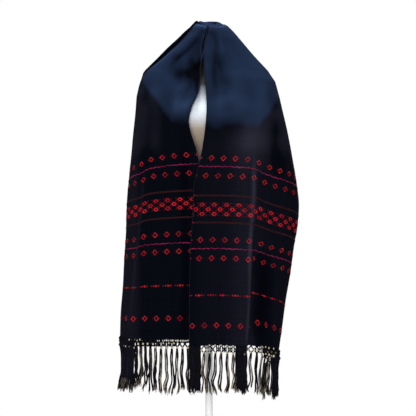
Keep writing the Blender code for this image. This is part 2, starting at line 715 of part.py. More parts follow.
# ---------------------------------------------------------------- the whole object
def main():
    """Build every node."""
    clear_scene()
    cloth = material("cotton_cloth", CLOTH_COLOUR, 0.85)
    yarn = material("fringe_yarn", FRINGE_COLOUR, 0.85)
    cover = material("form_cover", FORM_COLOUR, 0.75)
    stand = material("stand_paint", STAND_COLOUR, 0.40)
    add_object("shawl_back", wall_from_grid(shoulder_grid(), WALL, Vector((0, 0, MID_Z))), cloth)
    add_object("shawl_left_end", wall_from_grid(end_grid(LEFT_END, -1), WALL), cloth)
    add_object("shawl_right_end", wall_from_grid(end_grid(RIGHT_END, 1), WALL), cloth)
    for salt, fringe in enumerate(FRINGE_RUNS):
        table, side = (RIGHT_END, 1) if fringe.end == "right" else (LEFT_END, -1)
        points = end_row(table, table[-1].drop, side)
        run = HemRun(points[fringe.first:fringe.last], side)
        tassels = max(2, round(run.lengths[-1] / PITCH))
        add_object(fringe.name, fringe_body(run, tassels, fringe.tassel, salt), yarn)
    add_object("form_torso", lofted_form(), cover)
    add_object("form_post", turned(POST_PROFILE, POST_SEGMENTS), stand)
    add_object("form_base", turned(BASE_PROFILE, POST_SEGMENTS), stand)


main()
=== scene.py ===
"""Looks of a rebozo shawl worn over the neck of a limbless dress form.

One long handwoven cotton cloth is draped over the form. Both ends hang in front, carry
bands of brocaded flowers, and finish in a knotted net with tassels.

Frame: metres, +Z up, -Y to the front, +X to the right as seen from the front.
"""

from __future__ import annotations

import json
import logging
import math
from dataclasses import astuple, dataclass, field
from enum import Enum
from typing import Iterable, Sequence

import bpy
import numpy as np
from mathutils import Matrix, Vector

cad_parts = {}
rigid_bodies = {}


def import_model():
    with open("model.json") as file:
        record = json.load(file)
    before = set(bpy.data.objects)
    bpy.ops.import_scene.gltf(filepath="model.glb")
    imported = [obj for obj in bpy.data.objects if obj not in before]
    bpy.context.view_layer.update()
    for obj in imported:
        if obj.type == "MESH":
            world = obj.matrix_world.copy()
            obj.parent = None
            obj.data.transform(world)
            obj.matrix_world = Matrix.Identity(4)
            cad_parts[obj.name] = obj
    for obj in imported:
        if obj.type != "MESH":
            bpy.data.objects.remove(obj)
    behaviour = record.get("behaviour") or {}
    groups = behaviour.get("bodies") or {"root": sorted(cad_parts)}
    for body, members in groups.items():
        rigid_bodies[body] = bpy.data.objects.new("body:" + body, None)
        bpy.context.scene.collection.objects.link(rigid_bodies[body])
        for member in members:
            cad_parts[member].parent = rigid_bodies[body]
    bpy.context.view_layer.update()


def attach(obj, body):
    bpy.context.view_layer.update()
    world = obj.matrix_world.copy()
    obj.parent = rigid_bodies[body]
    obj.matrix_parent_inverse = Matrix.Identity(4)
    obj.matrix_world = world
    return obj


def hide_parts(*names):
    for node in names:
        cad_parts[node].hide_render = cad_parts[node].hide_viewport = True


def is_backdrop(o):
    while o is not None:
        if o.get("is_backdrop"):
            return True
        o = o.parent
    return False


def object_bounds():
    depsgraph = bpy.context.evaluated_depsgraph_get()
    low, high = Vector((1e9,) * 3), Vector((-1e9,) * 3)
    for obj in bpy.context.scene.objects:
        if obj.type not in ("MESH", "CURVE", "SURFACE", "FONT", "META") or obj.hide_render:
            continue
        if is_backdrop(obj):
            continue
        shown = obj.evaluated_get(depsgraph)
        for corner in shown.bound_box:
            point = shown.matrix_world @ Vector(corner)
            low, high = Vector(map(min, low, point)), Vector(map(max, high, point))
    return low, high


log = logging.getLogger("rebozo")
Array = np.ndarray
Socket = bpy.types.NodeSocket

CLOTH_WIDTH = 0.500      # from selvedge to selvedge
SHELL = 0.0011           # thickness of the visible cloth
TWIST_TO_WAVE = 6.0      # a yarn's twist over the scale of the wave that draws it


class Side(Enum):
    """The two ends of the shawl, as seen from the front."""

    RIGHT = 1
    LEFT = -1


# ---------- small mathematics
def ease(low: float, high: float, value: Array | float) -> Array:
    """Rise smoothly from 0 where value is at low to 1 where it is at high."""
    t = np.clip((np.asarray(value, float) - low) / (high - low), 0.0, 1.0)
    return t * t * (3 - 2 * t)


def bump(distance: Array | float, width: float) -> Array:
    """Read a rounded bump, 1 in its middle and about a third at a distance of width."""
    return np.exp(-((np.asarray(distance, float) / width) ** 2))


def spline(knots: Array, values: Array, at: Array) -> Array:
    """Read a smooth curve through rows of values.

    Args:
        knots: Rising places of the rows.
        values: One row of numbers at each knot.
        at: Places to read.

    Returns:
        One row for each place.
    """
    gaps = np.diff(knots)
    slopes = np.diff(values, axis=0) / gaps[:, None]
    inner = slopes[:-1] * gaps[1:, None] + slopes[1:] * gaps[:-1, None]
    inner = inner / (gaps[:-1] + gaps[1:])[:, None]
    tangents = np.concatenate([slopes[:1], inner, slopes[-1:]])
    index = np.clip(np.searchsorted(knots, at, side="right") - 1, 0, len(gaps) - 1)
    step = gaps[index][:, None]
    t = (np.asarray(at) - knots[index])[:, None] / step
    start = values[index] * (1 + 2 * t) * (1 - t) ** 2 + tangents[index] * step * t * (1 - t) ** 2
    end = values[index + 1] * t * t * (3 - 2 * t) - tangents[index + 1] * step * t * t * (1 - t)
    return start + end


def skin_normals(grid: Array, facing: float = 1.0) -> Array:
    """Work out a grid's unit normals, with facing 1 or -1 for the side that they point to."""
    normal = np.cross(np.gradient(grid, axis=0), np.gradient(grid, axis=1)) * facing
    return normal / np.maximum(np.linalg.norm(normal, axis=2, keepdims=True), 1e-12)


def along(points: Array) -> Array:
    """Measure the length from a polyline's start to each of its points."""
    return np.concatenate([[0.0], np.cumsum(np.linalg.norm(np.diff(points, axis=0), axis=1))])


def resample(points: Array, at: Array) -> Array:
    """Read a polyline's points at those lengths from its start."""
    lengths = along(points)
    return np.stack([np.interp(at, lengths, points[:, k]) for k in range(points.shape[1])], axis=1)


def wobble(index: Array | float, salt: float) -> Array:
    """Give a repeatable value from -1 to 1 for an index, in a family of values named by salt."""
    index = np.asarray(index, float)
    return np.sin(12.9898 * (index + 1) + 78.233 * salt + 0.5 * np.sin(4.1 * index + salt))


# ---------- finishes
class Nodes:
    """A short way to wire a material."""

    def __init__(self, name: str) -> None:
        """Start a material.

        Args:
            name: Its name.
        """
        self.material = bpy.data.materials.new(name)
        self.material.use_nodes = True
        self.tree = self.material.node_tree
        self.shader = self.tree.nodes["Principled BSDF"]

    def add(self, kind: str, **settings: object) -> bpy.types.Node:
        """Add a node.

        Args:
            kind: Its Blender type.
            **settings: Its properties.

        Returns:
            The node.
        """
        node = self.tree.nodes.new(kind)
        for key, value in settings.items():
            setattr(node, key, value)
        return node

    def link(self, source: Socket, target: Socket) -> None:
        """Join two sockets."""
        self.tree.links.new(source, target)

    def math(self, operation: str, *inputs: object) -> Socket:
        """Add a Math node.

        Args:
            operation: What it does.
            *inputs: Sockets or numbers.

        Returns:
            Its result.
        """
        node = self.add("ShaderNodeMath", operation=operation)
        for socket, value in zip(node.inputs, inputs):
            if isinstance(value, Socket):
                self.link(value, socket)
            else:
                socket.default_value = value
        return node.outputs[0]

    def noise(self, vector: Socket, scale: float, detail: float = 3.0) -> Socket:
        """Add a noise texture.

        Args:
            vector: Where it is read.
            scale: Its scale.
            detail: Its detail.

        Returns:
            Its value.
        """
        node = self.add("ShaderNodeTexNoise")
        node.inputs["Scale"].default_value = scale
        node.inputs["Detail"].default_value = detail
        self.link(vector, node.inputs["Vector"])
        return node.outputs[0]

    def stretched(self, vector: Socket, scale: tuple, detail: float) -> Socket:
        """Add a noise texture that is drawn out along an axis.

        Args:
            vector: Where it is read.
            scale: Its scale along each axis.
            detail: Its detail.

        Returns:
            Its value.
        """
        mapping = self.add("ShaderNodeMapping")
        mapping.inputs["Scale"].default_value = scale
        self.link(vector, mapping.inputs[0])
        return self.noise(mapping.outputs[0], 1.0, detail)

    def parts(self, vector: Socket) -> Sequence[Socket]:
        """Take a vector apart.

        Args:
            vector: The vector.

        Returns:
            Its three numbers.
        """
        node = self.add("ShaderNodeSeparateXYZ")
        self.link(vector, node.inputs[0])
        return node.outputs

    def eased(self, source: Socket, low: float, high: float, top: float = 1.0) -> Socket:
        """Rise smoothly from 0 to a top value.

        Args:
            source: What it reads.
            low: Where the rise starts.
            high: Where it ends.
            top: The value it ends at.

        Returns:
            Its value.
        """
        node = self.add("ShaderNodeMapRange", interpolation_type="SMOOTHSTEP")
        node.inputs[1].default_value, node.inputs[2].default_value = low, high
        node.inputs[4].default_value = top
        self.link(source, node.inputs[0])
        return node.outputs[0]

    def ramp(self, source: Socket, stops: Iterable[tuple[float, tuple]]) -> Socket:
        """Add a colour ramp.

        Args:
            source: What it reads.
            stops: Places and colours, with red, green and blue in each.

        Returns:
            Its colour.
        """
        node, stops = self.add("ShaderNodeValToRGB"), list(stops)
        while len(node.color_ramp.elements) < len(stops):
            node.color_ramp.elements.new(0.5)
        for element, (place, colour) in zip(node.color_ramp.elements, stops):
            element.position = place
            element.color = (*colour, 1.0)
        self.link(source, node.inputs[0])
        return node.outputs[0]

    def mix(self, share: object, first: object, second: object, mode: str = "MIX") -> Socket:
        """Mix two colours.

        Args:
            share: How much of the second, a socket or a number.
            first: A socket or a colour.
            second: A socket or a colour.
            mode: How they mix.

        Returns:
            The mixed colour.
        """
        node = self.add("ShaderNodeMix", data_type="RGBA", blend_type=mode)
        for socket, value in zip((node.inputs[0], node.inputs[6], node.inputs[7]), (share, first, second)):
            if isinstance(value, Socket):
                self.link(value, socket)
            elif isinstance(value, tuple):
                socket.default_value = (*value, 1.0)
            else:
                socket.default_value = value
        return node.outputs[2]

    def bump(self, height: Socket, strength: float, distance: float) -> None:
        """Roughen the surface by a height.

        Args:
            height: The height's socket.
            strength: Share of it that shows.
            distance: Metres that a height of 1 stands for.
        """
        node = self.add("ShaderNodeBump")
        node.inputs["Strength"].default_value = strength
        node.inputs["Distance"].default_value = distance
        self.link(height, node.inputs["Height"])
        self.link(node.outputs[0], self.shader.inputs["Normal"])

    def dry(self, roughness: float, specular: float, sheen: float, tint: tuple) -> None:
        """Set a matt cloth-like gloss.

        Args:
            roughness: Roughness of the surface.
            specular: Specular level.
            sheen: Weight of the sheen.
            tint: Colour of the sheen.
        """
        self.shader.inputs["Roughness"].default_value = roughness
        self.shader.inputs["Specular IOR Level"].default_value = specular
        self.shader.inputs["Sheen Weight"].default_value = sheen
        self.shader.inputs["Sheen Roughness"].default_value = 0.45
        self.shader.inputs["Sheen Tint"].default_value = (*tint, 1.0)


@dataclass(frozen=True)
class IndigoCotton:
    """Handwoven cotton, nearly black, with painted top light that makes it navy at the shoulders.

    The painted top light turns it navy above a band of heights given by two of its fields. That
    band lies higher towards the sides, past left_side and right_side, and a little lower right
    of the slit. Painted highlights make the crests paler than the rest, and painted shade makes
    the folds darker.
    """

    # navy is the black lit by painted top light; crest and the bluer crest colour after it are painted
    # highlights, and fold is painted shade
    navy: tuple = (0.0080, 0.0154, 0.0380)
    black: tuple = (0.0012, 0.0017, 0.0046)
    faded: tuple = (0.0080, 0.0100, 0.0160)
    crest: tuple = (0.0330, 0.0325, 0.0550)
    painted_toplit_highlight: tuple = (0.0280, 0.0520, 0.1180)
    fold: tuple = (0.0002, 0.0003, 0.0009)
    painted_toplight_from: float = 1.180
    painted_toplight_to: float = 1.212
    left_side: float = -0.108
    left_climb: float = -1.45
    right_side: float = 0.142
    right_climb: float = 1.45
    lower_from: float = -0.015
    lower_to: float = 0.030
    right_lower: float = 0.018
    cloud_scale: float = 9.0
    cloud_reach: float = 0.05
    warp_noise: tuple = (700.0, 6.0, 1.0)
    weft_noise: tuple = (3.0, 420.0, 1.0)
    yarn_start: float = 0.35
    yarn_share: float = 0.9
    crest_start: float = 0.55
    warp_pitch: float = 0.0011
    wefts_a_warp: float = 0.72
    crossing: float = 0.4
    warp_rib: float = 0.25
    slub: float = 1.6
    relief: float = 0.00035

    def painted_toplight_share(self, n: Nodes, place: Socket) -> Socket:
        """Read the share of painted top light, which turns the cloth from black to navy.

        Args:
            n: The material's nodes.
            place: Where it is read, in metres of the body.

        Returns:
            The share, 0 to 1.
        """
        x, _, z = n.parts(place)
        cloud = n.math("SUBTRACT", n.noise(place, self.cloud_scale), 0.5)
        lifted = n.math("ADD", z, n.math("MULTIPLY", cloud, self.cloud_reach))
        left = n.math("MULTIPLY", n.math("SUBTRACT", x, self.left_side), self.left_climb)
        right = n.math("MULTIPLY", n.math("SUBTRACT", x, self.right_side), self.right_climb)
        aside = n.math("MAXIMUM", n.math("MAXIMUM", left, right), 0.0)
        lifted = n.math("ADD", lifted, n.eased(x, self.lower_from, self.lower_to, self.right_lower))
        return n.eased(n.math("SUBTRACT", lifted, aside), self.painted_toplight_from, self.painted_toplight_to)

    def weave(self, n: Nodes, cloth: Socket, streak: Socket) -> Socket:
        """Read the height of a plain weave, in which the warp shows more than the weft.

        Args:
            n: The material's nodes.
            cloth: Where it is read, in metres of cloth.
            streak: How thick the single yarns are.

        Returns:
            The height, as a share of the relief.
        """
        across, length, _ = n.parts(cloth)
        turn = 2 * math.pi / self.warp_pitch
        warp = n.math("SINE", n.math("MULTIPLY", across, turn))
        weft = n.math("SINE", n.math("MULTIPLY", length, turn * self.wefts_a_warp))
        crossed = n.math("MULTIPLY", n.math("MULTIPLY", warp, weft), self.crossing)
        ribs = n.math("ADD", crossed, n.math("MULTIPLY", warp, self.warp_rib))
        return n.math("ADD", ribs, n.math("MULTIPLY", streak, self.slub))

    def make(self) -> bpy.types.Material:
        """Make the material.

        Returns:
            The material, whose UV coordinates are metres of cloth.
        """
        n = Nodes("indigo_cotton")
        place = n.add("ShaderNodeTexCoord").outputs["Object"]
        cloth = n.add("ShaderNodeUVMap", uv_map="cloth").outputs[0]
        # painted top light: navy over the shoulders and chest, nearly black below
        painted_light = self.painted_toplight_share(n, place)
        base = n.mix(painted_light, self.black, self.navy)
        # single yarns differ a little in their dye, across the cloth and along it
        warp, weft = n.stretched(cloth, self.warp_noise, 2.0), n.stretched(cloth, self.weft_noise, 3.0)
        streak = n.math("MULTIPLY", n.math("ADD", warp, weft), 0.5)
        pale = n.math("MULTIPLY", n.math("SUBTRACT", streak, self.yarn_start), self.yarn_share)
        base = n.mix(pale, base, self.faded)
        # painted highlights along the crests, bluer where the painted top light falls, and painted shade in
        # the folds and hollows
        wear = n.add("ShaderNodeAttribute", attribute_name="wear").outputs["Fac"]
        uneven = n.math("ADD", n.math("MULTIPLY", streak, self.yarn_share), self.crest_start)
        ragged = n.math("MULTIPLY", wear, uneven)
        crest = n.mix(painted_light, self.crest, self.painted_toplit_highlight)
        base = n.mix(n.math("MAXIMUM", ragged, 0.0), base, crest)
        base = n.mix(n.math("MAXIMUM", n.math("MULTIPLY", ragged, -1.0), 0.0), base, self.fold)
        n.link(base, n.shader.inputs["Base Color"])
        n.bump(self.weave(n, cloth, streak), 0.55, self.relief)
        n.dry(0.92, 0.015, 0.004, (0.55, 0.65, 0.95))
        return n.material


@dataclass(frozen=True)
class DyedYarn:
    """A twisted yarn of one dye, lighter in patches and finer the more twist it has."""

    name: str
    colour: tuple
    light: tuple
    sheen: float = 0.02
    twist: float = 900.0
    patchy: float = 1.1
    patch_scale: float = 60.0
    hair_scale: float = 900.0
    light_start: float = 0.10

    def make(self) -> bpy.types.Material:
        """Make the material.

        Returns:
            The material.
        """
        n = Nodes(self.name)
        place = n.add("ShaderNodeTexCoord").outputs["Object"]
        patch = n.noise(place, self.patch_scale, 4.0)
        hair = n.noise(place, self.hair_scale, 2.0)
        cloud = n.math("MULTIPLY", n.math("SUBTRACT", patch, 0.5), self.patchy)
        share = n.math("ADD", cloud, n.math("MULTIPLY", hair, 0.5))
        share = n.math("ADD", share, self.light_start)
        n.link(n.mix(share, self.colour, self.light), n.shader.inputs["Base Color"])
        wave = n.add("ShaderNodeTexWave", bands_direction="DIAGONAL")
        wave.inputs["Scale"].default_value = self.twist / TWIST_TO_WAVE
        wave.inputs["Distortion"].default_value = 1.5
        n.link(place, wave.inputs["Vector"])
        n.bump(n.math("ADD", wave.outputs["Fac"], n.math("MULTIPLY", hair, 0.8)), 0.5, 0.0003)
        n.dry(0.85, 0.06, self.sheen, (1.0, 0.9, 0.9))
        return n.material


SELVEDGE_YARN = DyedYarn("selvedge_yarn", (0.0040, 0.0062, 0.0150), (0.0110, 0.0150, 0.0300))
BROCADE_YARNS = (   # in the order of Dye
    DyedYarn("brocade_red", (0.30, 0.003, 0.010), (1.0, 0.030, 0.050), patchy=2.4),
    DyedYarn("brocade_rose", (0.120, 0.003, 0.012), (0.26, 0.010, 0.030)),
    DyedYarn("brocade_magenta", (0.16, 0.007, 0.050), (0.39, 0.026, 0.135), patchy=2.2),
    DyedYarn("brocade_brick", (0.032, 0.0065, 0.0075), (0.064, 0.014, 0.016)),
)
FRINGE_YARNS = (   # in the order of Yarn
    DyedYarn("fringe_black", (0.0020, 0.0022, 0.0036), (0.0060, 0.0062, 0.0085), 0.01, 700),
    DyedYarn("fringe_navy", (0.0028, 0.0042, 0.0110), (0.0080, 0.0110, 0.0240), 0.01, 700),
    DyedYarn("fringe_khaki", (0.060, 0.050, 0.036), (0.190, 0.160, 0.118), 0.02, 700),
    DyedYarn("fringe_cream", (0.420, 0.380, 0.270), (0.760, 0.710, 0.560), 0.02, 700),
)


@dataclass(frozen=True)
class FormLinen:
    """Linen over a padded torso, with painted light: dark painted shade at the neck, white painted top light
    on the chest and tan painted shade below.

    The places of its tones are shares of the way from low to high.
    """

    tan: tuple = (0.34, 0.265, 0.205)
    sand: tuple = (0.44, 0.37, 0.31)
    white: tuple = (0.78, 0.86, 0.96)
    grey: tuple = (0.27, 0.29, 0.33)
    dark: tuple = (0.016, 0.014, 0.013)
    low: float = 1.10
    high: float = 1.32
    places: tuple = (0.10, 0.31, 0.47, 0.60, 0.78, 0.92)
    mottle_shift: float = 0.10
    upright_noise: tuple = (900.0, 900.0, 60.0)
    level_noise: tuple = (60.0, 60.0, 900.0)
    slub_share: float = 0.6
    slub_start: float = 0.70

    def make(self) -> bpy.types.Material:
        """Make the material.

        Returns:
            The material.
        """
        n = Nodes("form_linen")
        place = n.add("ShaderNodeTexCoord").outputs["Object"]
        mottle = n.noise(place, 7.0, 4.0)
        upright = n.stretched(place, self.upright_noise, 2.0)
        level = n.stretched(place, self.level_noise, 2.0)
        slub = n.math("MULTIPLY", n.math("ADD", upright, level), 0.5)
        share = n.add("ShaderNodeMapRange")
        share.inputs[1].default_value, share.inputs[2].default_value = self.low, self.high
        n.link(n.parts(place)[2], share.inputs[0])
        mottle_shift = n.math("MULTIPLY", n.math("SUBTRACT", mottle, 0.5), self.mottle_shift)
        # painted light by height: painted shade dark at the neck and grey below it, painted top light white
        # on the chest, warm painted shade sand and tan lower down
        tones = (self.tan, self.sand, self.white, self.white, self.grey, self.dark)
        tone = n.ramp(n.math("ADD", share.outputs[0], mottle_shift), zip(self.places, tones))
        shade = n.math("ADD", n.math("MULTIPLY", slub, self.slub_share), self.slub_start)
        tint = n.add("ShaderNodeCombineColor")
        for socket in tint.inputs:
            n.link(shade, socket)
        n.link(n.mix(1.0, tone, tint.outputs[0], "MULTIPLY"), n.shader.inputs["Base Color"])
        n.bump(slub, 0.5, 0.0006)
        n.dry(0.85, 0.25, 0.15, (1.0, 0.98, 0.94))
        return n.material


@dataclass(frozen=True)
class PaintedSteel:
    """White satin paint on steel, a little dusty in patches."""

    colour: tuple = (0.94, 0.94, 0.94)
    roughness: float = 0.40
    rougher: float = 0.14
    dust: float = 0.93

    def make(self) -> bpy.types.Material:
        """Make the material.

        Returns:
            The material.
        """
        n = Nodes("stand_paint")
        place = n.add("ShaderNodeTexCoord").outputs["Object"]
        cloud = n.noise(place, 14.0, 5.0)
        peel = n.noise(place, 420.0, 2.0)
        dusty = tuple(self.dust * c for c in self.colour)
        n.link(n.ramp(cloud, [(0.3, dusty), (0.7, self.colour)]), n.shader.inputs["Base Color"])
        rough = n.add("ShaderNodeMapRange")
        rough.inputs[3].default_value = self.roughness
        rough.inputs[4].default_value = self.roughness + self.rougher
        n.link(cloud, rough.inputs[0])
        n.link(rough.outputs[0], n.shader.inputs["Roughness"])
        n.bump(peel, 0.25, 0.0002)
        return n.material


@dataclass(frozen=True)
class StudioFloor:
    """A plain pale floor."""

    colour: tuple = (0.86, 0.86, 0.86)
    wear: float = 0.97

    def make(self) -> bpy.types.Material:
        """Make the material.

        Returns:
            The material.
        """
        n = Nodes("studio_floor")
        place = n.add("ShaderNodeTexCoord").outputs["Object"]
        dull = tuple(self.wear * c for c in self.colour)
        cloud = n.noise(place, 2.0, 2.0)
        n.link(n.ramp(cloud, [(0.3, dull), (0.7, self.colour)]), n.shader.inputs["Base Color"])
        n.shader.inputs["Roughness"].default_value = 0.9
        return n.material


# ---------- mesh making
class MeshPile:
    """Points and faces gathered from many small shapes into one mesh."""

    def __init__(self) -> None:
        """Start empty."""
        self.points: list[Array] = []
        self.faces: list[Array] = []
        self.slots: list[Array] = []
        self.count = 0

    def add(self, points: Array, faces: Array, slot: int = 0) -> None:
        """Add a shape made of four-sided faces.

        Args:
            points: Its points.
            faces: Rows of four indices.
            slot: Its material's place.
        """
        self.points.append(points)
        self.faces.append(faces + self.count)
        self.slots.append(np.full(len(faces), slot))
        self.count += len(points)

    def grid(self, rows: Array, slot: int = 0, closed: bool = False) -> None:
        """Add a grid of points as a skin.

        Args:
            rows: Points, rows by columns by three.
            slot: Its material's place.
            closed: Whether the last column joins the first.
        """
        count, width = rows.shape[:2]
        columns = np.arange(width if closed else width - 1)
        after = (columns + 1) % width
        base = (np.arange(count - 1) * width)[:, None]
        below = base + width
        faces = np.stack([base + columns, below + columns, below + after, base + after], axis=-1)
        self.add(rows.reshape(-1, 3), faces.reshape(-1, 4), slot)

    def make(self, name: str, materials: Sequence[bpy.types.Material]) -> bpy.types.Object:
        """Link the mesh as an object.

        Args:
            name: The object's name.
            materials: Its materials, in the order of the slots.

        Returns:
            The object.
        """
        mesh = bpy.data.meshes.new(name)
        points = np.concatenate(self.points)
        faces = np.concatenate(self.faces)
        mesh.from_pydata(points.tolist(), [], faces.tolist())
        for finish in materials:
            mesh.materials.append(finish)
        mesh.polygons.foreach_set("material_index", np.concatenate(self.slots).astype(np.int32))
        mesh.validate()
        mesh.shade_smooth()
        obj = bpy.data.objects.new(name, mesh)
        bpy.context.scene.collection.objects.link(obj)
        return obj


def tube(path: Array, radii: Array, sides: int = 6, turn: float = 0.0) -> Array:
    """Make rings of points round a path.

    Args:
        path: Its points.
        radii: The radius at each of them.
        sides: Points in a ring.
        turn: Angle by which the rings are turned.

    Returns:
        Points, rings by sides by three.
    """
    tangent = np.gradient(path, axis=0)
    tangent /= np.maximum(np.linalg.norm(tangent, axis=1, keepdims=True), 1e-12)
    guide = np.tile([0.31, -0.92, 0.24], (len(path), 1))   # a direction that no cord runs along
    first = np.cross(tangent, guide)
    first /= np.maximum(np.linalg.norm(first, axis=1, keepdims=True), 1e-12)
    second = np.cross(tangent, first)
    angle = turn + 2 * math.pi * np.arange(sides) / sides
    cosine, sine = np.cos(angle)[None, :, None], np.sin(angle)[None, :, None]
    return path[:, None] + (first[:, None] * cosine + second[:, None] * sine) * radii[:, None, None]


# ---------- the drape
@dataclass(frozen=True)
class Section:
    """One section of the middle of the shawl, from the neck down to the parting.

    The z are heights at the front, at each side and at the middle of the back, left and
    right are half widths, front and back half depths, corner the power of the plan,
    slit_r and slit_l the x of the two front edges, and step how far the front layer
    stays inside the back one on the left shoulder.
    """

    z_front: float
    z_left: float
    z_right: float
    z_back: float
    left: float
    right: float
    front: float
    back: float
    corner: float
    slit_r: float
    slit_l: float
    step: float


@dataclass(frozen=True)
class Weft:
    """One weft line of a hanging end.

    drop is measured down the front edge from the parting, half is the half width, dip is
    how much lower the line lies at the side, tail how much lower again at the outer edge,
    and edge is the x of the front edge.
    """

    drop: float
    half: float
    front: float
    back: float
    corner: float
    dip: float
    tail: float
    edge: float


@dataclass(frozen=True)
class Fold:
    """A soft fold that runs down an end: its x at the parting, how far it has moved at
    the hem, its width, how far its crest rises there, and the drop where it starts."""

    place: float
    lean: float
    width: float
    rise: float
    start: float


@dataclass(frozen=True)
class Crease:
    """A soft crease between two points seen from the front, x and z, or from behind.

    wear is its painted light: a painted highlight above 0 and painted shade below 0. over
    tells that the crease lies on top of the shoulder, and bow is how far its middle swings aside.
    """

    x0: float
    z0: float
    x1: float
    z1: float
    width: float
    rise: float
    behind: bool = False
    wear: float = 0.0
    over: bool = False
    bow: float = 0.0

    def shown(self, points: Array) -> Array:
        """Read how strongly the crease shows.

        Args:
            points: Where it is read.

        Returns:
            A share, 0 to 1, for each point.
        """
        x, y, z = np.moveaxis(points, -1, 0)
        run = np.array([self.x1 - self.x0, self.z1 - self.z0])
        size = np.hypot(*run)
        t = ((x - self.x0) * run[0] + (z - self.z0) * run[1]) / size ** 2
        away = ((x - self.x0) * run[1] - (z - self.z0) * run[0]) / size
        waver = CREASE_WAVER * self.width * np.sin(7 * t + 40 * self.x0)
        away = away + 4 * self.bow * t * (1 - t) + waver
        ends = ease(*CREASE_START, t) * (1 - ease(*CREASE_END, t))
        if self.over:
            here = 1 - ease(*OVER_SHOULDER, y)
        else:
            here = ease(*FACE_DEPTH, y if self.behind else -y)
        return bump(away, self.width) * ends * here


CREASE_WAVER = 0.25              # how far a crease wavers, as a share of its width
CREASE_START = (-0.15, 0.25)     # where it starts and is full, as shares of its length
CREASE_END = (0.75, 1.15)        # where it starts to fade and is gone
OVER_SHOULDER = (0.016, 0.034)   # y where a crease on top of the shoulder fades
FACE_DEPTH = (0.0, 0.030)        # depth over which a crease of the front or the back sets in

SHOULDERS = (
    Section(1.4775, 1.4865, 1.4865, 1.4965, .024, .024, .024, .024, 2.0, -.0010, .0015, 0),
    Section(1.4765, 1.4930, 1.4925, 1.5095, .043, .046, .044, .045, 2.0, -.0030, .0000, .002),
    Section(1.4715, 1.4915, 1.4875, 1.5085, .050, .056, .051, .053, 2.0, -.0050, -.0020, .006),
    Section(1.4520, 1.4715, 1.4695, 1.4880, .073, .074, .060, .064, 1.75, -.0073, -.0045, .013),
    Section(1.4200, 1.4380, 1.4340, 1.4500, .110, .105, .069, .080, 1.5, -.0131, -.0120, .016),
    Section(1.3840, 1.3980, 1.3950, 1.4080, .150, .138, .080, .097, 1.45, -.0145, -.0195, .015),
    Section(1.3480, 1.3570, 1.3540, 1.3640, .192, .176, .0915, .109, 1.55, -.0128, -.0264, .008),
    Section(1.3370, 1.3475, 1.3425, 1.3530, .1985, .1832, .0950, .112, 1.67, -.0122, -.0262, .005),
    Section(1.3160, 1.3200, 1.3190, 1.3260, .2055, .1985, .1015, .117, 1.9, -.0110, -.0250, 0),
    Section(1.2750, 1.2740, 1.2710, 1.2850, .2165, .2115, .1125, .124, 2.2, -.0081, -.0312, 0),
    Section(1.2300, 1.2200, 1.2180, 1.2420, .2208, .2230, .1245, .128, 2.35, -.0063, -.0500, 0),
    Section(1.1900, 1.1680, 1.1690, 1.2030, .2252, .2345, .127, .130, 2.45, -.0085, -.0585, 0),
    Section(1.1500, 1.1130, 1.1180, 1.1650, .2300, .2459, .128, .130, 2.5, -.0130, -.0500, 0),
    Section(1.1100, 1.0580, 1.0690, 1.1280, .2368, .2562, .128, .130, 2.5, -.0190, -.0367, 0),
)
ROWS_BETWEEN = (5, 3, 6, 8, 9, 9, 4, 5, 9, 9, 8, 8, 8)
CRISP_COLUMNS = (1, 2, 4, 5)   # heights and half widths at the sides, which keep corners
ENDS = {
    Side.RIGHT: (
        Weft(0.000, .2562, .128, .130, 2.5, .041, 0.00, -.0190),
        Weft(0.045, .2633, .128, .130, 2.5, .041, .010, -.0290),
        Weft(0.095, .2686, .128, .128, 2.5, .041, .016, -.0415),
        Weft(0.155, .2650, .127, .126, 2.5, .041, .022, -.0450),
        Weft(0.220, .2552, .127, .124, 2.4, .040, .026, -.0480),
        Weft(0.300, .2443, .126, .122, 2.3, .039, .028, -.0525),
        Weft(0.380, .2325, .125, .120, 2.2, .038, .030, -.0545),
        Weft(0.465, .2210, .124, .118, 2.15, .036, .031, -.0550),
        Weft(0.558, .2095, .122, .116, 2.1, .034, .032, -.0555),
    ),
    Side.LEFT: (
        Weft(0.000, .2368, .128, .130, 2.5, .0520, 0.00, -.0367),
        Weft(0.045, .2400, .127, .131, 2.6, .0447, .012, -.0275),
        Weft(0.095, .2438, .126, .132, 2.7, .0390, .018, -.0235),
        Weft(0.155, .2467, .125, .133, 2.8, .0340, .022, -.0220),
        Weft(0.220, .2485, .124, .134, 2.9, .0296, .024, -.0220),
        Weft(0.300, .2527, .123, .135, 3.0, .0244, .026, -.0220),
        Weft(0.380, .2565, .122, .135, 3.0, .0190, .026, -.0220),
        Weft(0.465, .2622, .121, .135, 3.0, .0135, .026, -.0220),
        Weft(0.543, .2647, .120, .135, 3.0, .0080, .026, -.0220),
    ),
}
SOFT_FOLDS = (
    Fold(-.180, -.048, .014, .010, 0.00),
    Fold(-.158, -.040, .022, -.004, 0.02),
    Fold(-.105, -.010, .034, -.006, 0.10),
    Fold(-.060, -.004, .024, .004, 0.16),
    Fold(-.030, 0, .018, .003, 0.18),
    Fold(.030, 0, .024, -.004, 0.14),
    Fold(.080, -.006, .024, .003, 0.14),
    Fold(.158, -.012, .020, .006, 0.20),
    Fold(.200, -.020, .020, -.006, 0.20),
)
NECK_FOLDS = (   # x and y of the middle, radius and rise
    (-.035, .004, .010, .0136),
    (-.023, .002, .007, -.0050),
    (.018, .033, .0065, -.0050),
    (.026, .040, .020, .0042),
    (-.026, .032, .0110, .0075),
    (.010, .038, .010, -.0018),
    (.034, .010, .008, .0035),
    (-.002, -.026, .016, -.0045),
    (-.036, -.030, .018, .0075),
    (-.016, -.046, .014, .0050),
    (.022, -.046, .013, -.0030),
)
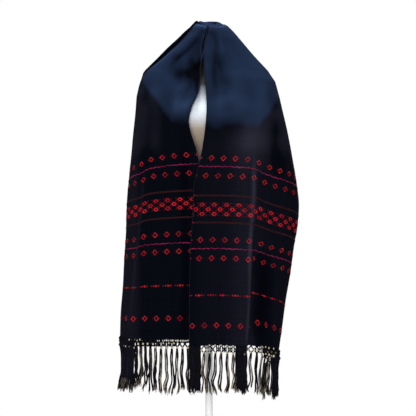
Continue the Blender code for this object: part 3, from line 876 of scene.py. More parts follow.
CREASES = (
    Crease(.012, 1.462, .036, 1.330, .007, -.0016, wear=-.3),
    Crease(.030, 1.440, .052, 1.355, .006, .0013, wear=.10),
    Crease(.014, 1.395, .018, 1.275, .008, -.0026, wear=-.48),
    Crease(.030, 1.385, .046, 1.280, .022, -.0034, wear=-.42),
    Crease(.034, 1.300, .030, 1.200, .008, .0012, wear=.08),
    Crease(-.020, 1.452, -.062, 1.340, .012, -.0024, wear=-.3),
    Crease(-.112, 1.318, -.020, 1.338, .030, -.0078, wear=-.40),
    Crease(-.018, 1.3410, -.102, 1.3330, .0155, 0, wear=-.56),
    Crease(-.041, 1.384, -.050, 1.286, .0165, 0, wear=-.54),
    Crease(-.0265, 1.400, -.0345, 1.262, .0075, -.0008, wear=-.80),
    Crease(-.028, 1.446, -.108, 1.364, .0085, -.0016, wear=-.60),
    Crease(-.020, 1.440, -.092, 1.372, .020, 0, wear=-.22),
    Crease(-.078, 1.378, -.140, 1.346, .024, 0, wear=-.26),
    Crease(-.088, 1.298, -.060, 1.282, .030, .0040, wear=.10),
    Crease(-.105, 1.258, -.055, 1.222, .028, 0, wear=.24),
    Crease(.068, 1.330, .082, 1.195, .022, 0, wear=.17),
    Crease(.112, 1.205, .122, 1.100, .020, 0, wear=.12),
    Crease(.116, 1.262, .124, 1.110, .034, 0, wear=.23),
    Crease(.026, 1.262, .040, 1.196, .038, 0, wear=.27),
    Crease(-.102, 1.240, -.060, 1.222, .022, 0, wear=.30),
    Crease(-.170, 1.285, -.176, 1.050, .018, 0, wear=-.12),
    Crease(.193, 1.318, .182, 1.228, .017, 0, wear=-.26),
    Crease(.188, 1.200, .198, 1.040, .016, 0, wear=-.26),
    Crease(-.176, 1.325, -.188, 1.245, .012, 0, wear=-.14),
    Crease(-.0030, 1.4850, -.0212, 1.3960, .0036, -.0012, wear=-1.5),
    Crease(-.0085, 1.4850, -.0262, 1.3900, .0020, .0004, wear=.50),
    Crease(-.030, 1.460, .018, 1.456, .010, 0, wear=-.45),
    Crease(-.0196, 1.5204, -.2212, 1.3254, .0026, 0, wear=1.1, over=True, bow=.0160),
    Crease(-.0182, 1.5230, -.2198, 1.3279, .0072, 0, wear=-2.4, over=True, bow=.0085),
    Crease(.1300, 1.075, .1170, .775, .0060, .0008, wear=.66),
    Crease(.1185, .800, .1090, .540, .0040, 0, wear=.45),
    Crease(-.1840, 1.070, -.2300, .610, .0032, 0, wear=.14),
    Crease(.1510, .800, .1560, .540, .018, 0, wear=-.7),
    Crease(-.0660, 1.160, -.0740, .500, .013, 0, wear=-.55),
    Crease(.060, 1.430, .150, 1.290, .012, -.0016),
    Crease(-.080, 1.425, -.165, 1.300, .014, .0014),
    Crease(.110, 1.300, .120, 1.080, .014, .0012),
    Crease(-.140, 1.290, -.165, 1.090, .014, .0014),
    Crease(.070, 1.250, .060, 1.120, .016, -.0010),
    Crease(-.110, 1.240, -.095, 1.100, .018, -.0012),
    Crease(-.020, 1.480, -.150, 1.300, .016, .0030, True),
    Crease(.020, 1.480, .150, 1.300, .016, .0030, True),
    Crease(-.010, 1.470, -.080, 1.200, .018, -.0030, True),
    Crease(.012, 1.470, .070, 1.190, .018, -.0028, True),
    Crease(-.170, 1.300, -.140, 1.130, .014, .0026, True),
    Crease(.165, 1.300, .150, 1.130, .014, .0026, True),
    Crease(-.100, 1.190, .090, 1.170, .014, .0026, True),
    Crease(-.070, 1.250, .080, 1.262, .016, -.0022, True),
)


class PlanCurve:
    """A level curve round the body, read by its length from the front's middle.

    Lengths are positive to the right and negative to the left.
    """

    SAMPLES = 96

    def __init__(self, left: float, right: float, front: float, back: float, corner: float) -> None:
        """Work the curve out.

        Args:
            left: Half width to the left.
            right: Half width to the right.
            front: Half depth to the front.
            back: Half depth to the back.
            corner: Power of the curve, 2 for an ellipse and more for a squarer one.
        """
        count = self.SAMPLES
        step = np.arange(-2 * count, 2 * count + 1)
        angle = step * math.pi / (2 * count)
        half = np.where(step > 0, right, left)
        depth = np.where(np.abs(step) < count, front, back)
        power = 2 / corner
        self.right = right
        self.x = half * np.sign(np.sin(angle)) * np.abs(np.sin(angle)) ** power
        self.y = -depth * np.sign(np.cos(angle)) * np.abs(np.cos(angle)) ** power
        self.lengths = along(np.stack([self.x, self.y], axis=1))
        self.lengths -= self.lengths[2 * count]

    def at(self, length: Array) -> Array:
        """Read points, x and y, at those lengths."""
        return np.stack([np.interp(length, self.lengths, way) for way in (self.x, self.y)], axis=1)

    def outward(self, length: Array, reach: float = 0.012) -> Array:
        """Read outward directions.

        Args:
            length: Where they are read.
            reach: How far to both sides the curve is looked at.

        Returns:
            One unit direction, x and y, for each length.
        """
        step = self.at(length + reach) - self.at(length - reach)
        normal = np.stack([step[:, 1], -step[:, 0]], axis=1)
        return normal / np.linalg.norm(normal, axis=1, keepdims=True)

    def length_at_x(self, x: float) -> float:
        """Find the length where the front has that x."""
        span = slice(self.SAMPLES, 3 * self.SAMPLES + 1)
        return float(np.interp(x, self.x[span], self.lengths[span]))

    def beside(self, side: Side) -> float:
        """Find the length at the middle of that side."""
        return float(self.lengths[(2 + side.value) * self.SAMPLES])

    def behind(self, side: Side) -> float:
        """Find the length at the middle of the back, reached by that side."""
        return float(self.lengths[(2 + 2 * side.value) * self.SAMPLES])


@dataclass
class Drape:
    """The shape that the cloth hangs in.

    Lengths run round the body and drops down from the parting, in metres. A pair of
    numbers is where a change starts and ends. A dip is the shares of the side where it
    starts and is full, its depth, and the drops where it starts to fade and is gone.
    """

    pleat_top: float = 0.510
    pleat_hem: float = 0.525
    pleat_run: float = 0.56
    pleat_lap: float = 0.034
    pleat_depth: float = 0.0078
    pleat_start: float = -0.02
    pleat_full: float = 0.40
    pleat_ease: float = 0.004
    pleat_spread: float = 0.040
    pleat_narrow: float = 0.16
    step_top: float = 0.007
    step_hem: float = -0.009
    side_sag: float = 0.012
    sag_start: float = -0.12
    lap_start: float = -0.03
    lap_full: float = 0.09
    lap_out: float = 0.0060
    lap_in: float = -0.0035
    lap_edge: float = 0.012
    lap_fade: float = 0.07
    neck_lap: tuple = (0.250, 0.280)
    neck_edge: tuple = (0.006, 0.040)
    neck_lift: float = 0.0026
    swag_rise: float = 0.0050
    swag_pitch: float = 0.240
    swag_sag: float = 1.9
    swag_below: tuple = (0.0, 0.14)
    swag_behind: tuple = (0.03, 0.10)
    shoulder_ease: float = 0.060
    crest_offset: float = 0.012
    gully_places: tuple = (-1.0, -0.75, -0.35, -0.10, 0.15, 0.60)
    gully_depths: tuple = (1.0, 0.93, 1.28, 1.34, 0.10, 0.0)
    rear_fade: float = 0.13
    dip_right: tuple = (0.39, 0.62, 0.0088, 0.20, 0.52)
    dip_left: tuple = (0.56, 0.68, 0.008, 0.15, 0.50)
    dip_shown: tuple = (-0.09, 0.05)
    dip_power: float = 2.2
    hem_ease: float = 0.0065
    hem_zone: tuple = (0.500, 0.548)
    pleat_rise: float = 0.0090
    rise_zone: tuple = (0.28, 0.47)
    fold_run: float = 0.55
    fold_full: float = 0.50
    rounds: int = 6
    fineness: int = 420

    def weft_row(self, side: Side, drop: float) -> Weft:
        """Read the smooth table of an end at a drop."""
        rows = np.array([astuple(row) for row in ENDS[side]])
        return Weft(*spline(rows[:, 0], rows, np.array([drop]))[0])

    def pleat_crease(self, curve: PlanCurve, drop: float) -> float:
        """Find the length where the pleat's outer crease lies at a drop."""
        share = self.pleat_top + (self.pleat_hem - self.pleat_top) * float(ease(0.0, self.pleat_run, drop))
        return curve.length_at_x(share * curve.right)

    def pleat(self, curve: PlanCurve, drop: float) -> Array:
        """Lay the pleat's six controls, flat where it hasn't formed yet.

        Args:
            curve: The plan curve.
            drop: Drop below the parting.

        Returns:
            Rows of length, lift and the share of the pleat that lies before them.
        """
        half_formed = 0.5 * (self.pleat_start + self.pleat_full)
        slide = float(ease(0.7 * self.pleat_start + 0.3 * self.pleat_full, self.pleat_full, drop))
        part = float(ease(self.pleat_start, half_formed, drop))
        crease, depth, easing = self.pleat_crease(curve, drop), self.pleat_depth, self.pleat_ease
        inner = crease - self.pleat_lap
        folded = np.array([(crease - easing, depth), (crease, depth / 2), (crease - easing, 0),
                           (inner + easing, 0), (inner, -depth / 2), (inner + easing, -depth)])
        spread = self.pleat_spread * min(1.0, curve.right / self.pleat_narrow)
        flat = np.linspace(crease - spread / 2, crease + spread / 2, 6)
        passed = np.array([0, 0, 0.25, 0.5, 0.75, 1.0])
        return np.stack([flat + (folded[:, 0] - flat) * slide, folded[:, 1] * part, passed], axis=1)

    def right_path(self, curve: PlanCurve, start: float, outer: float, drop: float) -> tuple[Array, Array]:
        """Lay the right side along a plan curve, with its pleat.

        Args:
            curve: The plan curve.
            start: Length where the front edge lies.
            outer: Length where the path ends.
            drop: Drop below the parting.

        Returns:
            Rows of length, lift and the share of the pleat that lies before them, and the
            places of the pleat's six controls among the rows.
        """
        pleat = self.pleat(curve, drop)
        front = np.linspace(start, pleat[0, 0], 13)[:-1]
        front = np.stack([front, pleat[0, 1] * ease(start, pleat[0, 0], front), 0 * front], axis=1)
        beside = curve.beside(Side.RIGHT)
        rest = np.linspace(pleat[-1, 0], beside, 9)[1:]
        rest = np.stack([rest, pleat[-1, 1] * (1 - ease(pleat[-1, 0], beside, rest)), 0 * rest + 1], axis=1)
        rear = np.linspace(beside, outer, 10)[1:]
        rear = np.stack([rear, 0 * rear, 0 * rear + 1], axis=1)
        controls = np.concatenate([front, pleat, rest, rear])
        knots = along(controls[:, :2])
        marks = knots[len(front):len(front) + len(pleat)]
        at = np.sort(np.concatenate([np.linspace(0, knots[-1], self.fineness), marks]))
        return spline(knots, controls, at), np.searchsorted(at, marks)

    def plain_path(self, start: float, outer: float) -> Array:
        """Lay the left side from start to outer, in rows as for the right side, without a pleat."""
        length = np.linspace(start, outer, self.fineness)
        return np.stack([length, 0 * length, 0 * length], axis=1)

    def sag(self, curve: PlanCurve, path: Array, drop: float) -> Array:
        """Read how much lower the weft lies because of the pleat.

        Args:
            curve: The plan curve.
            path: Rows of length, lift and passed share.
            drop: Drop below the parting.

        Returns:
            How much lower, for each row of the path.
        """
        formed = float(ease(self.sag_start, 0, drop))
        step = self.step_top + (self.step_hem - self.step_top) * max(drop, 0) / ENDS[Side.RIGHT][-1].drop
        pleat = self.pleat_crease(curve, drop)
        beyond = np.clip((path[:, 0] - pleat) / (curve.beside(Side.RIGHT) - pleat), 0, 1)
        near_hem = float(ease(*self.hem_zone, drop))
        low = self.hem_ease * near_hem
        low -= self.pleat_rise * float(ease(*self.rise_zone, drop)) * (1 - near_hem)
        return path[:, 2] * formed * (step + self.side_sag * beyond + low * (1 - beyond))

    def side_dip(self, side: Side, share: Array, drop: float) -> Array:
        """Read how much lower the weft lies again beyond the outermost fold.

        Args:
            side: The end.
            share: Shares of the way from the front's middle to the side.
            drop: Drop below the parting.

        Returns:
            How much lower, at each share.
        """
        first, last, depth, kept, gone = self.dip_right if side is Side.RIGHT else self.dip_left
        shown = ease(*self.dip_shown, drop) * (1 - ease(kept, gone, drop))
        return depth * shown * ease(first, last, np.minimum(share, 1))

    def soft_lift(self, curve: PlanCurve, length: Array, drop: float) -> Array:
        """Read how far the soft folds lift the cloth.

        Args:
            curve: The plan curve.
            length: Where it is read.
            drop: Drop below the parting.

        Returns:
            The lift at each length.
        """
        lift = np.zeros(len(length))
        for fold in SOFT_FOLDS:
            crest = curve.length_at_x(fold.place + fold.lean * drop / self.fold_run)
            lift += fold.rise * ease(fold.start, self.fold_full, drop) * bump(length - crest, fold.width)
        return lift

    def lap_lift(self, length: Array, start: float, drop: float, side: Side) -> Array:
        """Read how far the lap of the two ends moves the cloth near its front edge.

        Args:
            length: Where it is read.
            start: Length where the front edge lies.
            drop: Drop below the parting.
            side: The end.

        Returns:
            The lift at each length.
        """
        formed = ease(self.lap_start, self.lap_full, drop)
        lift = self.lap_out if side is Side.RIGHT else self.lap_in
        away = np.abs(length - start)
        neck = ease(*self.neck_lap, -drop) * side.value * self.neck_lift * (1 - ease(*self.neck_edge, away))
        return formed * lift * (1 - ease(self.lap_edge, self.lap_fade, away)) + neck

    def swag_lift(self, point: Array, z: Array) -> Array:
        """Read how far the swags move the cloth of the back.

        Args:
            point: Places, x and y.
            z: Heights.

        Returns:
            The lift at each place.
        """
        low = ease(*self.swag_below, SHOULDERS[3].z_back - z)
        phase = (z - self.swag_sag * point[:, 0] ** 2) / self.swag_pitch
        return self.swag_rise * ease(*self.swag_behind, point[:, 1]) * low * np.cos(2 * math.pi * phase)

    def shoulder_step(self, step: float, past: Array) -> Array:
        """Read how far the left shoulder's front layer lies inside its back layer.

        Args:
            step: How far it lies inside in front of the crest.
            past: Lengths past the side, less than 0 in front of it.

        Returns:
            How far, at each length.
        """
        crest = self.crest_offset
        front = ease(-self.shoulder_ease, -crest, past)
        rise = np.interp(past, crest * np.array(self.gully_places), self.gully_depths)
        return step * np.where(past < -crest, front, rise)

    def yoke_line(self, side: Side, row: Section) -> Array:
        """Lay one section of the middle of the shawl on one side.

        Args:
            side: The side.
            row: The section.

        Returns:
            Its points from the front edge to the middle of the back.
        """
        curve = PlanCurve(row.left, row.right, row.front, row.back, row.corner)
        drop = SHOULDERS[-1].z_front - row.z_front
        start = curve.length_at_x(row.slit_r if side is Side.RIGHT else row.slit_l)
        outer, beside = curve.behind(side), curve.beside(side)
        if side is Side.RIGHT:
            path, _ = self.right_path(curve, start, outer, drop)
        else:
            path = self.plain_path(start, outer)
        length, lift = path[:, 0], path[:, 1] + self.lap_lift(path[:, 0], start, drop, side)
        z_side = row.z_right if side is Side.RIGHT else row.z_left
        share = np.abs(length) / abs(beside)
        behind = (np.abs(length) - abs(beside)) / (abs(outer) - abs(beside))
        sag = self.sag(curve, path, drop) + self.side_dip(side, share, drop)
        before = row.z_front + (z_side - row.z_front) * np.minimum(share, 1) ** self.dip_power - sag
        lower = z_side - sag
        z = np.where(share <= 1, before, lower + (row.z_back - lower) * ease(0, 1, behind))
        place = curve.at(length)
        lift = lift + self.swag_lift(place, z)
        place = place + curve.outward(length) * lift[:, None]
        if side is Side.LEFT:
            place[:, 0] += self.shoulder_step(row.step, np.abs(length) - abs(beside))
        return np.column_stack([place, z])

    def end_line(self, side: Side, drop: float) -> tuple[Array, Array]:
        """Lay one weft line of a hanging end.

        Args:
            side: The end.
            drop: Drop below the parting.

        Returns:
            Its points, one cloth width long, and the pleat's places among them.
        """
        row, other = self.weft_row(side, drop), Side(-side.value)
        across = self.weft_row(other, min(drop, ENDS[other][-1].drop)).half
        left, right = (across, row.half) if side is Side.RIGHT else (row.half, across)
        curve = PlanCurve(left, right, row.front, row.back, row.corner)
        start, top = curve.length_at_x(row.edge), SHOULDERS[-1]
        beside, middle = curve.beside(side), curve.behind(side)
        z_side = top.z_right if side is Side.RIGHT else top.z_left
        near_top = 1 - ease(0, self.rear_fade, drop)
        outer = beside * 1.5   # a first guess, mended each round until the line is one width long
        for _ in range(self.rounds):
            marks = np.zeros(6, int)
            if side is Side.RIGHT:
                path, marks = self.right_path(curve, start, outer, drop)
            else:
                path = self.plain_path(start, outer)
            length = path[:, 0]
            lift = path[:, 1] + self.lap_lift(length, start, drop, side) + self.soft_lift(curve, length, drop)
            share = np.abs(length) / abs(beside)
            z = top.z_front - drop - row.dip * np.minimum(share, 1) ** self.dip_power
            z = z - self.sag(curve, path, drop) - self.side_dip(side, share, drop)
            past = np.maximum(np.abs(length) - abs(beside), 0)
            climb = top.z_back - z_side + self.sag(curve, path, 0.0) + self.side_dip(side, share, 0.0)
            z = z + near_top * climb * ease(0, 1, past / (abs(middle) - abs(beside)))
            z = z - row.tail * past / (abs(outer) - abs(beside))
            place = curve.at(length)
            lift = lift + near_top * self.swag_lift(place, z)
            place = place + curve.outward(length) * lift[:, None]
            points = np.column_stack([place, z])
            outer += side.value * (CLOTH_WIDTH - along(points)[-1])
        return points, marks


class ClothPatch:
    """One end's cloth as a grid, read by cloth coordinates.

    u runs across from the front edge, and v up from the hem, both in metres.
    """

    def __init__(self, grid: Array, across: Array, up: Array, facing: float) -> None:
        """Keep the grid, u of its columns and v of its rows, with normals that facing turns outward."""
        self.grid, self.across, self.up = grid, across, up
        self.normals = skin_normals(grid, facing)

    def read(self, u: Array, v: Array) -> tuple[Array, Array]:
        """Read points and normals.

        Args:
            u: Places across.
            v: Places up.

        Returns:
            Points and unit normals.
        """
        column = np.interp(u, self.across, np.arange(len(self.across)))
        row = np.interp(-v, -self.up, np.arange(len(self.up)))
        c = np.clip(column.astype(int), 0, len(self.across) - 2)
        r = np.clip(row.astype(int), 0, len(self.up) - 2)
        a, b = (column - c)[:, None], (row - r)[:, None]
        found = []
        for source in (self.grid, self.normals):
            high = source[r, c] * (1 - a) + source[r, c + 1] * a
            low = source[r + 1, c] * (1 - a) + source[r + 1, c + 1] * a
            found.append(high * (1 - b) + low * b)
        found[1] /= np.linalg.norm(found[1], axis=1, keepdims=True)
        return found[0], found[1]


@dataclass(frozen=True)
class Tones:
    """Painted light and shade on broad parts of the cloth, beside its creases.

    Amounts are painted light, paler where more than 0 and painted shade where less than 0,
    and those of the throat and the knob, both painted shade, are taken away. A pair of
    numbers is where a change starts and ends.
    """

    rim: float = 0.75
    rim_reach: float = 0.0485
    rim_width: float = 0.0028
    throat: float = 0.7
    throat_reach: float = 0.033
    throat_width: float = 0.010
    neck_front: tuple = (0.0, 0.02)
    neck_zone: tuple = (1.455, 1.470)
    knob: float = 1.6
    knob_place: tuple = (-0.034, 0.006)
    knob_width: float = 0.015
    knob_zone: tuple = (1.47, 1.48)
    front: tuple = (-0.02, 0.02)
    ends_zone: tuple = (1.12, 1.20)
    right_end: float = 0.045
    right_from: tuple = (-0.06, 0.0)
    panel: float = 0.14
    panel_place: float = 0.103
    panel_width: float = 0.038
    upper_panel: float = 0.24
    upper_place: float = 0.125
    upper_width: float = 0.055
    upper_zone: tuple = (1.02, 1.12)
    left_rear: float = 0.12
    left_from: tuple = (0.19, 0.22)
    sides: float = 0.19
    sides_middle: float = -0.005
    sides_from: tuple = (0.12, 0.16)
    sides_low: tuple = (1.08, 1.14)
    sides_high: tuple = (1.27, 1.33)

    def wear(self, points: Array) -> Array:
        """Read the painted light and shade.

        Args:
            points: Where it is read.

        Returns:
            The painted light at each point, less than 0 where it is painted shade.
        """
        x, y, z = np.moveaxis(points, -1, 0)
        reach = np.hypot(x, y)
        # painted highlight along the front rim of the neck, painted shade in the throat below it and on the
        # knob
        rim = self.rim * bump(reach - self.rim_reach, self.rim_width)
        throat = self.throat * bump(reach - self.throat_reach, self.throat_width)
        painted_light = ease(*self.neck_front, -y) * ease(*self.neck_zone, z) * (rim - throat)
        aside = np.hypot(x - self.knob_place[0], y - self.knob_place[1])
        painted_light -= self.knob * bump(aside, self.knob_width) * ease(*self.knob_zone, z)
        # painted light: the right end is a little greyer in front, and the left one beyond its fold
        front = ease(*self.front, -y)
        low = (1 - ease(*self.ends_zone, z)) * front
        painted_light += low * (self.right_end * ease(*self.right_from, x)
                       + self.panel * bump(x - self.panel_place, self.panel_width))
        upper = self.upper_panel * bump(x - self.upper_place, self.upper_width) * ease(*self.upper_zone, z)
        painted_light += low * (upper + self.left_rear * ease(*self.left_from, -x))
        # painted light: paler at the sides of the front between two heights
        beside = front * ease(*self.sides_low, z) * (1 - ease(*self.sides_high, z))
        return painted_light + self.sides * beside * ease(*self.sides_from, np.abs(x - self.sides_middle))


@dataclass
class ShawlCloth:
    """The whole cloth: its middle over the form and both ends, without a seam."""

    drape: Drape = field(default_factory=Drape)
    tones: Tones = field(default_factory=Tones)
    mid_z: float = 1.492
    cap_rings: tuple = (0.08, 0.36, 0.68)
    cap_crown: float = 0.0012
    cap_cloth: tuple = (0.022, 0.015, 0.008)
    row_pitch: float = 0.0052
    coarse: float = 0.0056
    fine: float = 0.0024
    right_turns: tuple = (0.135, 0.225)
    left_turns: tuple = (0.265, 0.345)
    rear_columns: int = 16
    crispness: float = 0.85
    below_hem: float = 0.0030
    broad_ripple: float = 0.0006
    small_ripple: float = 0.0004
    smooth_neck: tuple = (1.486, 1.470)
    neck_zone: tuple = (1.455, 1.475)
    trough_painted_shade: float = 170.0
    rear_painted_light: float = 60.0
    selvedge: float = 0.00095
    edges: dict[tuple[Side, str], Array] = field(default_factory=dict)
    patches: dict[Side, ClothPatch] = field(default_factory=dict)

    def columns(self, side: Side) -> Array:
        """Choose the columns, closer where the cloth turns sharply.

        Args:
            side: The end they are for.

        Returns:
            u of each.
        """
        low, high = self.right_turns if side is Side.RIGHT else self.left_turns
        first = np.linspace(0, low, round(low / self.coarse))
        middle = np.linspace(low, high, round((high - low) / self.fine))[1:]
        last = np.linspace(high, CLOTH_WIDTH, round((CLOTH_WIDTH - high) / self.coarse))[1:]
        return np.concatenate([first, middle, last])

    def sections(self) -> Array:
        """Read smooth sections between those of the table, with crisper corners at the sides.

        Returns:
            The values of one section in each row.
        """
        table = np.array([astuple(row) for row in SHOULDERS])
        knots = np.arange(len(table), dtype=float)
        at = [np.linspace(k, k + 1, count, endpoint=False) for k, count in enumerate(ROWS_BETWEEN)]
        at = np.concatenate(at + [knots[-1:]])
        rows = spline(knots, table, at)
        for column in CRISP_COLUMNS:
            straight = np.interp(at, knots, table[:, column])
            rows[:, column] += self.crispness * (straight - rows[:, column])
        return rows

    def yoke(self) -> tuple[Array, Array, dict[Side, Array]]:
        """Lay the middle of the shawl, with a cap of small rings over the neck.

        Returns:
            Its grid, its cloth coordinates and the columns of each side.
        """
        picks = {side: self.columns(side) for side in Side}
        full = {side: along(self.drape.yoke_line(side, SHOULDERS[-1]))[-1] for side in Side}
        grid, marks = [], []
        for values in self.sections():
            section, line, cloth = Section(*values), {}, {}
            for side in Side:
                points = self.drape.yoke_line(side, section)
                total = along(points)[-1]
                rear = np.linspace(CLOTH_WIDTH, full[side], self.rear_columns + 1)[1:]
                share = np.concatenate([picks[side], rear]) / full[side]
                line[side] = resample(points, share * total)
                cloth[side] = np.column_stack([share * total, np.full(len(share), values[0])])
            grid.append(np.concatenate([line[Side.RIGHT], line[Side.LEFT][-2::-1]]))
            marks.append(np.concatenate([cloth[Side.RIGHT], cloth[Side.LEFT][-2::-1]]))
        grid, marks, rings = np.array(grid), np.array(marks), len(self.cap_rings)
        apex, crown = np.array([0.0, 0.0, self.mid_z]), np.array([0.0, 0.0, self.cap_crown])
        inner = [apex + (grid[0] - apex) * k + crown * (1 - k) for k in self.cap_rings]
        grid = np.concatenate([np.array(inner), grid])
        marks = np.concatenate([np.repeat(marks[:1], rings, axis=0), marks])
        marks[:rings, :, 1] += np.array(self.cap_cloth)[:, None]
        marks[:, :, 1] -= SHOULDERS[-1].z_front
        return grid, marks, picks

    def end(self, side: Side, across: Array) -> tuple[Array, Array]:
        """Lay a hanging end.

        Args:
            side: The end.
            across: u of its columns.

        Returns:
            Its grid and the drop of each row.
        """
        last = ENDS[side][-1].drop + self.below_hem
        drops = np.linspace(0, last, round(last / self.row_pitch))
        return np.array([resample(self.drape.end_line(side, drop)[0], across) for drop in drops]), drops

    def ruffle(self, grid: Array) -> tuple[Array, Array]:
        """Press the small creases into a grid.

        Args:
            grid: Points, rows by columns.

        Returns:
            The grid with its creases, and the painted light and shade at each point.
        """
        x, y, z = np.moveaxis(grid, -1, 0)
        height, wear = np.zeros(x.shape), np.zeros(x.shape)
        for crease in CREASES:
            shown = crease.shown(grid)
            height += crease.rise * shown
            # painted light of each crease, and on the back paler where a crease rises and painted shade where
            # it sinks
            wear += (crease.wear + (self.rear_painted_light * crease.rise if crease.behind else 0)) * shown
        height += self.broad_ripple * np.sin(38 * x + 9 * z) * np.sin(23 * z + 31 * y + 1.3)
        height += self.small_ripple * np.sin(95 * x + 14 * z + 30 * y) * np.sin(17 * z + 2.0)
        creased = grid + skin_normals(grid) * (height * ease(*self.smooth_neck, z))[..., None]
        for fold_x, fold_y, radius, rise in NECK_FOLDS:
            lump = bump(np.hypot(x - fold_x, y - fold_y), radius) * ease(*self.neck_zone, z)
            creased[..., 2] += rise * lump
            # painted shade in the sunken folds over the neck
            wear += self.trough_painted_shade * min(rise, 0.0) * lump
        return creased, np.clip(wear + self.tones.wear(grid), -1, 1)

    def make(self, finish: bpy.types.Material) -> bpy.types.Object:
        """Build the cloth.

        Args:
            finish: Its material.

        Returns:
            The object.
        """
        yoke, marks, picks = self.yoke()
        yoke, painted_light = self.ruffle(yoke)
        rows, width = yoke.shape[:2]
        points, cloth, wear = [yoke.reshape(-1, 3)], [marks.reshape(-1, 2)], [painted_light.ravel()]
        neck = {Side.RIGHT: yoke[:, 0], Side.LEFT: yoke[:, -1]}
        index = np.arange(rows * width).reshape(rows, width)
        faces, count = [self.quads(index)], rows * width
        for side in Side:
            across, turn = picks[side], slice(None, None, side.value)
            grid, drops = self.end(side, across)
            grid, painted_light = (found[:, turn] for found in self.ruffle(grid[:, turn]))
            grid[0] = yoke[-1, turn][:len(across)]
            self.patches[side] = ClothPatch(grid, across, drops[-1] - drops, side.value)
            self.edges[side, "front"] = np.concatenate([neck[side][len(self.cap_rings):-1], grid[:, 0]])
            self.edges[side, "outer"] = grid[:, -1]
            below = grid[1:]
            numbers = count + np.arange(below.shape[0] * below.shape[1]).reshape(below.shape[:2])
            numbers = np.concatenate([index[-1:, turn][:, :len(across)], numbers])
            faces.append(self.quads(numbers[:, turn]))
            points.append(below.reshape(-1, 3))
            wear.append(painted_light[1:].ravel())
            uv = np.stack(np.broadcast_arrays(across[None], -drops[1:, None]), axis=-1)
            cloth.append(uv.reshape(-1, 2))
            count += below.shape[0] * below.shape[1]
        pile = MeshPile()
        pile.add(np.concatenate(points), np.concatenate(faces))
        obj = pile.make("shawl_cloth", [finish])
        self.mark(obj.data, np.concatenate(cloth), np.concatenate(wear))
        shell = obj.modifiers.new("thickness", "SOLIDIFY")
        shell.thickness, shell.offset = SHELL, 0.0
        return obj

    @staticmethod
    def mark(mesh: bpy.types.Mesh, cloth: Array, wear: Array) -> None:
        """Write the cloth coordinates and the painted light and shade that the finish reads.

        Args:
            mesh: The cloth's mesh.
            cloth: u and v of each point.
            wear: Painted light and shade at each point.
        """
        layer = mesh.uv_layers.new(name="cloth")
        corners = np.empty(len(mesh.loops), np.int32)
        mesh.loops.foreach_get("vertex_index", corners)
        layer.data.foreach_set("uv", cloth[corners].ravel())
        mesh.attributes.new("wear", "FLOAT", "POINT").data.foreach_set("value", wear)

    def selvedges(self, finish: bpy.types.Material) -> bpy.types.Object:
        """Build the thick edges that the weft turns round.

        Args:
            finish: Their material.

        Returns:
            The object.
        """
        pile = MeshPile()
        for path in self.edges.values():
            stretch = along(path)
            path = resample(path, np.linspace(0, stretch[-1], round(stretch[-1] / 0.006)))
            pile.grid(tube(path, np.full(len(path), self.selvedge), 6), 0, True)
        return pile.make("selvedges", [finish])

    @staticmethod
    def quads(index: Array) -> Array:
        """Join a grid of indices into four-sided faces."""
        corners = [index[:-1, :-1], index[1:, :-1], index[1:, 1:], index[:-1, 1:]]
        return np.stack(corners, axis=-1).reshape(-1, 4)


# ---------- brocade
class Dye(Enum):
    """The dyes of the brocade, as material slots."""

    RED = 0
    ROSE = 1
    MAGENTA = 2
    BRICK = 3


Float = tuple[float, float, float, float, float, Dye]


@dataclass(frozen=True)
class Band:
    """One band of brocade: its height above the hem, its motif, and its shift across."""

    up: float
    motif: str
    shift: float = 0.0


BANDS = {
    Side.RIGHT: (
        Band(.0580, "flower", .47), Band(.1445, "dots"), Band(.2500, "flower"), Band(.2775, "wave"),
        Band(.3025, "flower"), Band(.3520, "stripe"), Band(.3760, "lattice"), Band(.3893, "lattice", 0.5),
        Band(.4025, "lattice"), Band(.4290, "stripe"), Band(.4850, "flower", .05), Band(.5115, "wave"),
        Band(.5355, "flower", .15),
    ),
    Side.LEFT: (
        Band(.0629, "flower"), Band(.1574, "dots"), Band(.2558, "flower", .10), Band(.2795, "wave"),
        Band(.3058, "flower", .12), Band(.3530, "stripe"), Band(.3805, "lattice"),
        Band(.3925, "lattice", 0.5), Band(.4045, "lattice"), Band(.4290, "stripe"),
        Band(.4790, "flower", .15), Band(.5045, "wave"), Band(.5311, "flower", .17),
    ),
}
FLOWER = (
    ".....RRR.....",
    "....RR.RR....",
    "d..RR...RR..d",
    ".dRR..d..RRd.",
    "d..RR...RR..d",
    "....RR.RR....",
    ".....RRR.....",
)
LATTICE = (
    "mm...RRRRR...mm",
    "..m.RRR.RRR.m..",
    "...RRR...RRR...",
    "..m.RRR.RRR.m..",
    "mm...RRRRR...mm",
)


